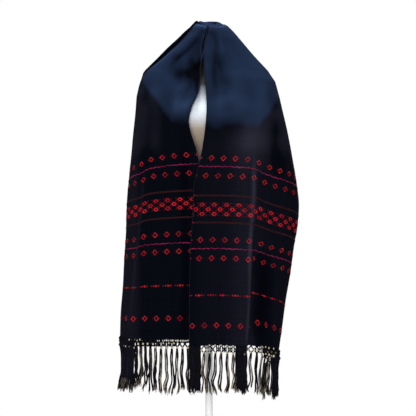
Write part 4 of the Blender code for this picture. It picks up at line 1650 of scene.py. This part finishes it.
@dataclass
class Brocade:
    """Bands of extra weft yarns that float on the cloth in small flowers.

    A float is its start and end across, its height above the hem at each, its half width
    and its dye.
    """

    cloth: ShawlCloth
    pitch: float = 0.0350
    cell: float = 0.0018
    pick: float = 0.0022
    yarn: float = 0.00095
    rise: float = 0.00075
    margin: float = 0.0006
    shortest: float = 0.0012
    part: float = 0.005
    lean: float = 0.00018
    shift: float = 0.0006
    between: float = 0.0002
    profile: tuple = ((-1.0, -0.25), (-0.72, 0.62), (0.0, 1.0), (0.72, 0.62), (1.0, -0.25))
    edge_dash: tuple = (0.0020, 0.0014)
    dot: tuple = ((-0.0020, 0.0024), (0.0, 0.0040), (0.0020, 0.0024))
    sparks: tuple = ((0.22, 0.0018, Dye.RED), (0.42, 0.0022, Dye.ROSE), (0.78, 0.0018, Dye.RED))
    spark_lift: float = 0.0010
    wave_pitch: float = 0.0062
    wave_float: float = 0.0066
    wave_swing: float = 0.0015
    stripe_rows: tuple = (-0.0014, 0.0012)
    stripe_pitch: float = 0.0074
    stripe_float: float = 0.0070
    stripe_half: float = 0.0011

    def floats(self, band: Band) -> Iterable[Float]:
        """Chart a band.

        Args:
            band: The band.

        Yields:
            Its floats.
        """
        count = int(CLOTH_WIDTH / self.pitch)
        margin = (CLOTH_WIDTH - count * self.pitch) / 2
        centres = [margin + (k + 0.6 + band.shift) * self.pitch for k in range(-1, count + 1)]
        place, half = self.edge_dash
        yield self.dash(place, band.up, half, Dye.MAGENTA if band.motif == "wave" else Dye.RED)
        if band.motif == "dots":
            for centre in centres:
                yield from self.dots(centre, band.up)
        elif band.motif == "wave":
            yield from self.wave(band.up)
        elif band.motif == "stripe":
            yield from self.stripe(band.up)
        else:
            chart = FLOWER if band.motif == "flower" else LATTICE
            for k, centre in enumerate(centres):
                yield from self.charted(chart, centre, band.up, k)

    def charted(self, chart: Sequence[str], centre: float, up: float, salt: int) -> Iterable[Float]:
        """Turn a chart's runs into floats.

        Args:
            chart: Its lines, from the top down.
            centre: Its middle across.
            up: Its middle above the hem.
            salt: Which motif of the band it is.

        Yields:
            Its floats.
        """
        width, height = len(chart[0]), len(chart)
        dyes = {"R": Dye.RED, "d": Dye.BRICK, "m": Dye.ROSE}
        shift = self.shift * float(wobble(salt, up * 50))
        for r, line in enumerate(chart):
            c = 0
            while c < width:
                run = 1
                while c + run < width and line[c + run] == line[c]:
                    run += 1
                if line[c] != ".":
                    start = centre + shift + (c - width / 2) * self.cell
                    end, level = start + run * self.cell, up + ((height - 1) / 2 - r) * self.pick
                    gap = self.between / 2
                    yield start + gap, end - gap, level, level, self.yarn, dyes[line[c]]
                c += run

    def dots(self, centre: float, up: float) -> Iterable[Float]:
        """Lay one dot and the three small marks beside it.

        Args:
            centre: The dot's middle across.
            up: Its height above the hem.

        Yields:
            Its floats.
        """
        for lift, half in self.dot:
            yield self.dash(centre, up + lift, half, Dye.RED)
        for part, half, dye in self.sparks:
            for lift in (-self.spark_lift, self.spark_lift):
                yield self.dash(centre + part * self.pitch, up + lift, half, dye)

    def wave(self, up: float) -> Iterable[Float]:
        """Lay a line of floats that rises and falls.

        Args:
            up: Its height above the hem.

        Yields:
            Its floats.
        """
        for k, start in enumerate(np.arange(0.003, CLOTH_WIDTH - 0.003, self.wave_pitch)):
            ends = up + self.wave_swing * wobble(np.array([k, k + 1]) * 0.31, up)
            dye = Dye.ROSE if float(wobble(k * 0.23, up + 2)) > 0.70 else Dye.MAGENTA
            half = 0.0013 + 0.0004 * float(wobble(k, up + 1))
            yield start, min(start + self.wave_float, CLOTH_WIDTH - 0.001), ends[0], ends[1], half, dye

    def stripe(self, up: float) -> Iterable[Float]:
        """Lay two straight rows of floats.

        Args:
            up: Their height above the hem.

        Yields:
            Their floats.
        """
        for row in self.stripe_rows:
            for start in np.arange(0.002, CLOTH_WIDTH - 0.006, self.stripe_pitch):
                yield start, start + self.stripe_float, up + row, up + row, self.stripe_half, Dye.BRICK

    def dash(self, centre: float, up: float, half: float, dye: Dye) -> Float:
        """Make one short float."""
        return centre - half, centre + half, up, up, self.yarn, dye

    def make(self, side: Side, finishes: Sequence[bpy.types.Material]) -> bpy.types.Object:
        """Build the brocade of one end, on the cloth's face and more sparsely on its back.

        Args:
            side: The end.
            finishes: The materials, in the order of the dyes.

        Returns:
            The object.
        """
        patch, pile = self.cloth.patches[side], MeshPile()
        section = np.array(self.profile)
        for band in BANDS[side]:
            for number, (u0, u1, v0, v1, half, dye) in enumerate(self.floats(band)):
                u0, u1 = max(u0, self.margin), min(u1, CLOTH_WIDTH - self.margin)
                if u1 - u0 < self.shortest:
                    continue
                count = 3 + int((u1 - u0) / self.part)
                t = np.linspace(0, 1, count)
                plump = np.clip(np.sin(math.pi * (0.12 + 0.76 * t)) * 1.15, 0.4, 1.0)
                lean = self.lean * float(wobble(number, band.up))
                u = np.repeat(u0 + (u1 - u0) * t, 5)
                v = np.repeat(v0 + (v1 - v0) * t, 5) + lean
                v += (section[:, 0] * half)[None].repeat(count, 0).ravel() * plump.repeat(5)
                rise = (section[:, 1][None] * plump[:, None]).ravel() * self.rise
                points, normals = patch.read(u, v)
                for face in (1.0, -1.0):
                    if face < 0 and (number % 2 or band.motif == "dots"):
                        continue
                    lift = face * (SHELL / 2 + rise * (1.0 if face > 0 else 0.5))
                    pile.grid((points + normals * lift[:, None]).reshape(count, 5, 3), dye.value)
        return pile.make(f"brocade_{side.name.lower()}", finishes)


# ---------- fringe
class Yarn(Enum):
    """The fringe's yarns, as material slots."""

    BLACK = 0
    NAVY = 1
    KHAKI = 2
    CREAM = 3


@dataclass
class KnottedFringe:
    """The knotted net and tassels below a stretch of hem.

    bunched and netted are spans of x, where y is less than rear_from: where more tassels
    hang from the hem itself, and where more cords run down through the net. heading adds
    short cords below the hem and lets the tassels flare.
    """

    name: str
    node: str
    salt: float
    line: Array
    gap: float = 0.0003
    strip: float = 0.0030
    levels: tuple = (0.0, 0.0100, 0.0200)
    knot_sizes: tuple = (0.0027, 0.0030, 0.0032)
    pitch_wanted: float = 0.0174
    tassel: float = 0.116
    cord: float = 0.0015
    heading: bool = False
    heading_out: float = 0.0006
    apart: float = 0.0025
    split: float = 0.0042
    sway: float = 0.0060
    bunch_sway: float = 0.0040
    waviness: float = 0.0028
    kink: float = 0.0040
    lean: float = 0.0045
    flare: float = 0.008
    yarns: int = 6
    yarn: float = 0.00112
    bundle: float = 0.00165
    dyed: tuple = ((0.56, Yarn.BLACK), (0.74, Yarn.NAVY), (0.985, Yarn.KHAKI))
    bunched: tuple = ((-1.0, -0.216), (-0.058, -0.026), (0.080, 0.107), (0.199, 1.0))
    bunch_first: float = 0.12
    bunch_step: float = 0.42
    netted: tuple = ((-1.0, -0.092), (0.020, 0.081), (0.135, 1.0))
    rear_from: float = 0.06
    look: float = 0.004

    def __post_init__(self) -> None:
        """Measure the run of hem and lay out the knots."""
        self.length = along(self.line)[-1]
        self.tassels = max(2, round(self.length / self.pitch_wanted))
        self.pitch = self.length / self.tassels
        self.base = self.gap + self.strip
        self.pile = MeshPile()

    def at(self, place: float, down: float, out: float = 0.0, aside: float = 0.0) -> Array:
        """Find a point of the fringe.

        Args:
            place: Place along the hem, in pitches.
            down: Depth below the hem.
            out: Distance outward.
            aside: Distance along the hem.

        Returns:
            The point.
        """
        want = place * self.pitch + aside
        inside = min(max(want, 0.0), self.length)
        near = np.array([inside - self.look, inside, inside + self.look]).clip(0, self.length)
        before, spot, after = resample(self.line, near)
        run = after - before
        run[2] = 0
        run /= np.linalg.norm(run)
        outward = np.array([run[1], -run[0], 0.0])
        return spot + run * (want - inside) + outward * out - np.array([0, 0, down])

    def dye(self, index: float, salt: float) -> int:
        """Pick a yarn's dye, mostly dark."""
        value = float(wobble(index, salt + self.salt))
        return next((yarn.value for below, yarn in self.dyed if value < below), Yarn.CREAM.value)

    def within(self, place: float, spans: Sequence[tuple[float, float]]) -> bool:
        """Tell whether a place of the hem, in pitches, lies within one of the spans of x."""
        x, y, _ = self.at(place, 0.0)
        return y < self.rear_from and any(low < x < high for low, high in spans)

    def twine(self, start: Array, end: Array, index: float) -> None:
        """Lay two twisted yarns between two knots.

        Args:
            start: Where they start.
            end: Where they end.
            index: Which cord of the fringe it is.
        """
        t = np.linspace(0, 1, 6)[:, None]
        middle = start + (end - start) * t
        middle[:, 2] -= 0.0006 * np.sin(math.pi * t[:, 0])
        across = np.cross(end - start, [0, 0, 1.0])
        across /= max(np.linalg.norm(across), 1e-9)
        turn = 2.2 * math.pi * t[:, 0] + index
        dark = Yarn.NAVY if float(wobble(index, 6.0)) > 0.7 else Yarn.BLACK
        for part in (0, 1):
            path = middle + across * (np.cos(turn + part * math.pi)[:, None] * self.cord * 0.65)
            path[:, 2] += np.sin(turn + part * math.pi) * self.cord * 0.65
            self.pile.grid(tube(path, np.full(6, self.cord), 5), dark.value, True)

    def knot(self, centre: Array, size: float, index: float, dark: bool) -> None:
        """Tie one knot of wrapped yarn.

        Args:
            centre: Its middle.
            size: Its radius.
            index: Which knot of the fringe it is.
            dark: Whether it is of dark yarn only.
        """
        rings, sides = 7, 9
        polar = np.linspace(0.08, math.pi - 0.08, rings)[:, None]
        turn = 2 * math.pi * np.arange(sides)[None] / sides
        lump = 1 + 0.16 * np.sin(3 * turn + 4 * polar + index) + 0.08 * np.sin(5 * turn - 3 * polar)
        shape = np.stack([np.sin(polar) * np.cos(turn), np.sin(polar) * np.sin(turn) * 0.8,
                          np.cos(polar) * np.ones_like(turn) * 1.05], axis=-1)
        shape = shape * (lump * size)[..., None]
        light = not dark and float(wobble(index, 5.0 + self.salt)) > -0.15
        self.pile.grid(centre + shape, Yarn.CREAM.value if light else self.dye(index, 2.0), True)

    def strand(self, place: float, down: float, side: int, reach: float, sway: float, dark: bool) -> None:
        """Hang one strand of a tassel from a knot.

        Args:
            place: Place of its knot, in pitches.
            down: Depth of the knot below the hem.
            side: Which of the knot's two strands it is, -1 or 1.
            reach: Its length.
            sway: How far it swings along the hem.
            dark: Whether it is of dark yarn only.
        """
        index = place * 7.3 + side
        count = 16
        t = np.linspace(0, 1, count)
        both, own = place * 5.1 + self.salt, place * 9.7 + 2.3 * side
        wave = self.waviness * (np.sin(8.0 * t + both) * t ** 0.6 + 0.45 * np.sin(19 * t + 2 * both) * t)
        wave += 0.0007 * np.sin(13 * t + own) * t
        wave += self.kink * float(wobble(place * 17, self.salt)) * bump(t - 0.66, 0.13)
        split = self.split * max(0.0, float(wobble(place * 3, 8.0))) * ease(0.55, 1.0, t)
        aside = side * (self.apart * np.minimum(1.0, 0.2 + 5 * t) + split) + sway * t * (1.3 - t) + wave
        out = 0.0010 * np.sin(6 * t + index) + 0.0014 * float(wobble(place * 13, 0)) * t
        out += (self.flare if self.heading else 0.0) * ease(0.7, 1.0, t) - self.lean * ease(0.0, 0.3, t)
        base = np.array([self.at(place, down + reach * k, o, a) for k, o, a in zip(t, out, aside)])
        run = self.at(place, 0, 0, 0.002) - self.at(place, 0, 0, -0.002)
        run /= np.linalg.norm(run)
        outward = np.array([run[1], -run[0], 0.0])
        spread = self.bundle * (0.8 + 0.2 * np.sin(11 * t + own) + 0.9 * t ** 5)
        radii = self.yarn * (1 - 0.2 * t) * np.where(t > 0.97, 0.4, 1.0)
        for yarn in range(self.yarns):
            angle = 2 * math.pi * yarn / self.yarns + 6.0 * t + index
            path = base + run * (np.cos(angle) * spread)[:, None]
            path += outward * (np.sin(angle) * spread)[:, None]
            cut = 1.0 - 0.045 * (1 + float(wobble(index + yarn, 3.0)))
            path = resample(path, np.linspace(0, along(path)[-1] * cut, count))
            dye = self.dye(index * 3 + yarn * 1.7, 4.0)
            if dark:
                dye = (Yarn.BLACK if dye == Yarn.BLACK.value else Yarn.NAVY).value
            self.pile.grid(tube(path, radii, 5, index), dye, True)
            if wobble(index + 2 * yarn, 9.0) > 0.35 and (self.heading or not dark):
                self.pile.grid(tube(path[-3:], 1.25 * radii[-3:], 5, index), Yarn.KHAKI.value, True)

    def net(self) -> list[float]:
        """Tie the net's knots and lay the cords between them.

        Returns:
            The places of its lowest knots, in pitches.
        """
        middles = [k + 0.5 for k in range(self.tassels)]
        between = [float(k) for k in range(1, self.tassels)]
        places = [between if level % 2 else middles for level in range(len(self.levels))]
        for level, depth in enumerate(self.levels):
            for place in places[level]:
                index = place + 31.7 * level
                size = self.knot_sizes[level] * (1 + 0.16 * float(wobble(index, 12.0)))
                slip = np.array([0.0, 0.0, 0.0014 * float(wobble(index, 13.0))])
                knot = self.at(place, self.base + depth, 0.0016, 0.0012 * float(wobble(index, 14.0)))
                self.knot(knot + slip, size, index, self.within(place, self.bunched))
                for step in (-0.5, 0.5):
                    if level + 1 < len(places) and place + step in places[level + 1]:
                        low = self.at(place + step, self.base + self.levels[level + 1])
                        self.twine(self.at(place, self.base + depth), low, index + step)
        return places[-1]

    def cords(self) -> None:
        """Lay the cords that run straight down from the hem."""
        for half in range(1, 2 * self.tassels) if self.heading else ():
            top = self.at(half / 2, self.gap, self.heading_out)
            foot = self.at(half / 2, self.base + self.levels[1] * 0.75, self.heading_out)
            self.twine(top, foot, half * 0.37)
        for third in range(1, 3 * self.tassels):
            if self.within(third / 3, self.netted):
                foot = self.at(third / 3, self.base + self.levels[-1] * 0.9)
                self.twine(self.at(third / 3, self.gap), foot, third * 0.53)

    def make(self, finishes: Sequence[bpy.types.Material]) -> bpy.types.Object:
        """Build the net, its knots and the tassels.

        Args:
            finishes: The materials, in the order of the yarns.

        Returns:
            The object.
        """
        lowest, depth = self.net(), self.levels[-1]
        self.cords()
        for place in lowest:
            sway = self.sway * float(wobble(place, self.salt))
            for side in (-1, 1):
                reach = self.tassel * (0.95 + 0.12 * float(wobble(place + 7 * side, self.salt)))
                self.strand(place, self.base + depth, side, reach, sway, self.within(place, self.bunched))
        for place in np.arange(self.bunch_first, self.tassels, self.bunch_step):
            if self.within(place, self.bunched):
                sway = self.bunch_sway * float(wobble(place + 3, self.salt))
                share = 0.98 + 0.05 * float(wobble(place, 11.0))
                for side in (-1, 1):
                    self.strand(place, self.base, side, share * (self.tassel + depth), sway, True)
        return self.pile.make(self.name, finishes)


# ---------- dress form
@dataclass(frozen=True)
class Ring:
    """One ring of the torso: height, half width, half depths, plan power and tilt."""

    z: float
    half: float
    front: float
    back: float
    corner: float
    tilt: float = 0.0


@dataclass
class DressForm:
    """The padded torso, with the seams of its linen cover."""

    rings: tuple = (
        Ring(.800, .150, .082, .092, 2.3), Ring(.803, .168, .094, .104, 2.3),
        Ring(.815, .178, .102, .112, 2.3), Ring(.870, .179, .106, .114, 2.3),
        Ring(.930, .164, .100, .108, 2.3), Ring(.990, .140, .089, .094, 2.25),
        Ring(1.040, .128, .082, .084, 2.2), Ring(1.090, .135, .086, .087, 2.2),
        Ring(1.140, .149, .101, .095, 2.2), Ring(1.180, .160, .114, .101, 2.2),
        Ring(1.210, .167, .117, .105, 2.2), Ring(1.240, .172, .111, .108, 2.2),
        Ring(1.280, .180, .099, .108, 2.2), Ring(1.305, .184, .089, .104, 2.1),
        Ring(1.325, .176, .077, .096, 2.0), Ring(1.345, .147, .066, .086, 1.9, .002),
        Ring(1.365, .108, .056, .075, 1.9, .005), Ring(1.385, .074, .050, .064, 1.95, .009),
        Ring(1.410, .053, .045, .054, 2.0, .013), Ring(1.445, .046, .042, .046, 2.0, .016),
        Ring(1.476, .044, .041, .044, 2.0, .017), Ring(1.482, .040, .037, .040, 2.0, .016),
    )
    segments: int = 120
    per_ring: int = 5
    seams: tuple = (0.0, 42.0, 90.0, 138.0, 180.0, 222.0, 270.0, 318.0)
    seam_width: float = 2.0
    seam_depth: float = 0.0009
    seam_zone: tuple = (.80, .83)
    neck_half: float = 0.04

    def make(self, finish: bpy.types.Material) -> bpy.types.Object:
        """Build the torso.

        Args:
            finish: Its material.

        Returns:
            The object.
        """
        table = np.array([astuple(ring) for ring in self.rings])
        knots = along(table[:, [0, 1]])
        at = np.concatenate([np.linspace(a, b, self.per_ring, endpoint=False)
                             for a, b in zip(knots, knots[1:])] + [knots[-1:]])
        rows = spline(knots, table, at)
        angle = 2 * math.pi * np.arange(self.segments) / self.segments
        loops = []
        for z, half, front, back, corner, tilt in rows:
            power = 2 / corner
            across = np.sign(np.sin(angle)) * np.abs(np.sin(angle)) ** power
            ahead = np.sign(np.cos(angle)) * np.abs(np.cos(angle)) ** power
            depth = np.where(ahead > 0, front, back)
            groove = np.zeros(self.segments)
            for seam in self.seams:
                gap = np.abs((np.degrees(angle) - seam + 180) % 360 - 180)
                groove += bump(gap, self.seam_width)
            inset = 1 - self.seam_depth * groove * ease(*self.seam_zone, z) / max(half, self.neck_half)
            loops.append(np.stack([half * across * inset, -depth * ahead * inset, z - tilt * ahead], axis=1))
        loops = np.array(loops)
        low, high = loops[0].mean(axis=0), loops[-1].mean(axis=0)
        rim = [low + (loops[0] - low) * k for k in (0.02, 0.6)]
        top = [high + (loops[-1] - high) * k for k in (0.7, 0.02)]
        pile = MeshPile()
        pile.grid(np.concatenate([np.array(rim), loops, np.array(top)])[:, ::-1], 0, True)
        return pile.make("torso_cover", [finish])


@dataclass
class Stand:
    """The post and the round base, each turned from a profile of radius and height."""

    base: tuple = (
        (.001, .0002), (.186, .0002), (.192, .0006), (.1955, .003), (.196, .006), (.1955, .0105),
        (.1925, .0125), (.186, .0134), (.140, .0152), (.090, .017), (.058, .0185), (.050, .0189),
        (.001, .0189),
    )
    post: tuple = (
        (.001, .0194), (.0345, .0194), (.036, .0205), (.036, .0232), (.0345, .0245), (.030, .0268),
        (.020, .0282), (.0138, .0298), (.0115, .0325), (.0110, .0360), (.0110, .7770), (.0115, .7800),
        (.0140, .7822), (.0300, .7842), (.0362, .7862), (.0380, .7890), (.0380, .7985), (.0370, .7996),
        (.001, .7996),
    )
    segments: int = 96
    sharp_from: float = 35.0

    def turned(self, name: str, profile: Sequence, finish: bpy.types.Material) -> bpy.types.Object:
        """Turn a profile about the upright axis.

        Args:
            name: The piece's name.
            profile: Rows of radius and height.
            finish: Its material.

        Returns:
            The object.
        """
        rows = np.array(profile)
        angle = -2 * math.pi * np.arange(self.segments) / self.segments
        grid = np.stack([rows[:, :1] * np.cos(angle), rows[:, :1] * np.sin(angle),
                         np.repeat(rows[:, 1:], self.segments, axis=1)], axis=-1)
        pile = MeshPile()
        pile.grid(grid, 0, True)
        obj = pile.make(name, [finish])
        obj.data.set_sharp_from_angle(angle=math.radians(self.sharp_from))
        return obj


# ---------- studio
@dataclass
class Studio:
    """A plain pale floor, soft lights and the camera."""

    eye: tuple = (-0.003, -2.6, 0.942)
    lens: float = 75.0
    sensor: float = 36.0
    floor_rings: tuple = (0.01, 0.5, 1.25)
    floor_sides: int = 64
    floor_z: float = -0.0004
    fill: float = 0.50
    warm: tuple = (1.0, 0.97, 0.94, 1.0)
    soft_size: float = 2.0
    soft_power: float = 62.0
    soft_colour: tuple = (1.0, 0.98, 0.96)
    lamp_cone: float = 24.0
    lamp_power: float = 420.0
    lamp_colour: tuple = (0.80, 0.92, 1.0)

    def floor(self) -> bpy.types.Object:
        """Lay the floor.

        Returns:
            The floor, which is no piece of the object.
        """
        angle = 2 * math.pi * np.arange(self.floor_sides) / self.floor_sides
        rings = np.array(self.floor_rings)[:, None]
        level = np.full((len(rings), self.floor_sides), self.floor_z)
        pile = MeshPile()
        pile.grid(np.stack([rings * np.cos(angle), rings * np.sin(angle), level], axis=-1), 0, True)
        obj = pile.make("studio_floor", [StudioFloor().make()])
        obj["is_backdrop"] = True
        return obj

    def hang(self, data: bpy.types.Light, place: tuple, aim: tuple, power: float, colour: tuple) -> None:
        """Hang one light.

        Args:
            data: The light.
            place: Where it hangs.
            aim: What it points at.
            power: Its power in watts.
            colour: Its colour.
        """
        data.energy, data.color = power, colour
        obj = bpy.data.objects.new(data.name, data)
        obj.location = place
        obj.rotation_euler = (Vector(aim) - Vector(place)).to_track_quat("-Z", "Y").to_euler()
        bpy.context.scene.collection.objects.link(obj)

    def lights(self) -> None:
        """Hang a soft light in front, one behind, and a narrow lamp overhead."""
        for name, place, aim in (("front", (-0.6, -3.4, 1.3), (0, 0, 0.85)),
                                 ("rear", (0.8, 3.2, 1.6), (0, 0, 0.95))):
            soft = bpy.data.lights.new(name, "AREA")
            soft.shape, soft.size = "SQUARE", self.soft_size
            self.hang(soft, place, aim, self.soft_power, self.soft_colour)
        lamp = bpy.data.lights.new("overhead", "SPOT")
        lamp.spot_size, lamp.spot_blend, lamp.shadow_soft_size = math.radians(self.lamp_cone), 0.5, 0.22
        self.hang(lamp, (0.0, 0.06, 3.4), (0, 0, 1.3), self.lamp_power, self.lamp_colour)

    def backdrop(self) -> None:
        """Make the surroundings white where they are seen, and a soft fill elsewhere."""
        world = bpy.data.worlds.new("studio")
        bpy.context.scene.world = world
        world.use_nodes = True
        tree = world.node_tree
        seen = tree.nodes["Background"]
        seen.inputs[0].default_value = (1.0, 1.0, 1.0, 1.0)
        seen.inputs[1].default_value = 1.0
        fill = tree.nodes.new("ShaderNodeBackground")
        fill.inputs[0].default_value, fill.inputs[1].default_value = self.warm, self.fill
        rays, mix = tree.nodes.new("ShaderNodeLightPath"), tree.nodes.new("ShaderNodeMixShader")
        tree.links.new(rays.outputs["Is Camera Ray"], mix.inputs[0])
        tree.links.new(fill.outputs[0], mix.inputs[1])
        tree.links.new(seen.outputs[0], mix.inputs[2])
        tree.links.new(mix.outputs[0], tree.nodes["World Output"].inputs[0])
        bpy.context.scene.view_settings.view_transform = "Standard"

    def make(self) -> None:
        """Set up the whole studio."""
        self.floor()
        self.backdrop()
        self.lights()
        data = bpy.data.cameras.new("camera")
        data.lens, data.sensor_width = self.lens, self.sensor
        camera = bpy.data.objects.new("camera", data)
        camera.location = self.eye
        camera.rotation_euler = (math.pi / 2, 0, 0)
        bpy.context.scene.collection.objects.link(camera)
        bpy.context.scene.camera = camera


# ---------- all of it
def hem_runs(drape: Drape) -> list[KnottedFringe]:
    """Find the stretches of hem that carry fringe.

    Args:
        drape: The shape that the cloth hangs in.

    Returns:
        One fringe for each stretch.
    """
    left, _ = drape.end_line(Side.LEFT, ENDS[Side.LEFT][-1].drop)
    right, marks = drape.end_line(Side.RIGHT, ENDS[Side.RIGHT][-1].drop)
    return [
        KnottedFringe("tassels_left", "fringe_left", 0, left[::-1], tassel=0.132, cord=0.0019,
                      pitch_wanted=0.0158, heading=True),
        KnottedFringe("tassels_right_front", "fringe_right_front", 1, right[:marks[0] + 1]),
        KnottedFringe("tassels_right_lap", "fringe_right_lap", 2, right[marks[2]:marks[3] + 1]),
        KnottedFringe("tassels_right_rear", "fringe_right_rear", 3, right[marks[5]:]),
    ]


def settle(obj: bpy.types.Object, slot: str, *nodes: str) -> bpy.types.Object:
    """Put a piece on the part.

    Args:
        obj: The piece.
        slot: A material slot's name; not used.
        *nodes: The solids it stands for.

    Returns:
        The piece.
    """
    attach(obj, "root")
    if nodes:
        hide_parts(*nodes)
    log.info("%s: %d faces", obj.name, len(obj.data.polygons))
    return obj


def corners() -> list[list[float]]:
    """Read the box round what is shown."""
    return [list(corner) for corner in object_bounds()]


def main() -> None:
    """Build every piece and report it."""
    logging.basicConfig(level=logging.INFO, format="%(message)s")
    for obj in list(bpy.data.objects):
        bpy.data.objects.remove(obj)
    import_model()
    cloth = ShawlCloth()
    cotton = IndigoCotton().make()
    shawl = settle(cloth.make(cotton), "cloth", "shawl_back", "shawl_left_end", "shawl_right_end")
    selvedges = settle(cloth.selvedges(SELVEDGE_YARN.make()), "cloth")
    dyes = [yarn.make() for yarn in BROCADE_YARNS]
    brocade = Brocade(cloth)
    trims = [settle(brocade.make(side, dyes), "cloth") for side in Side]
    yarns = [yarn.make() for yarn in FRINGE_YARNS]
    fringes = [settle(run.make(yarns), "fringe", run.node) for run in hem_runs(cloth.drape)]
    torso = settle(DressForm().make(FormLinen().make()), "form_cover", "form_torso")
    paint = PaintedSteel().make()
    stand = Stand()
    settle(stand.turned("stand_post", stand.post, paint), "stand", "form_post")
    settle(stand.turned("stand_base", stand.base, paint), "stand", "form_base")
    Studio().make()


if __name__ == "__main__":
    main()
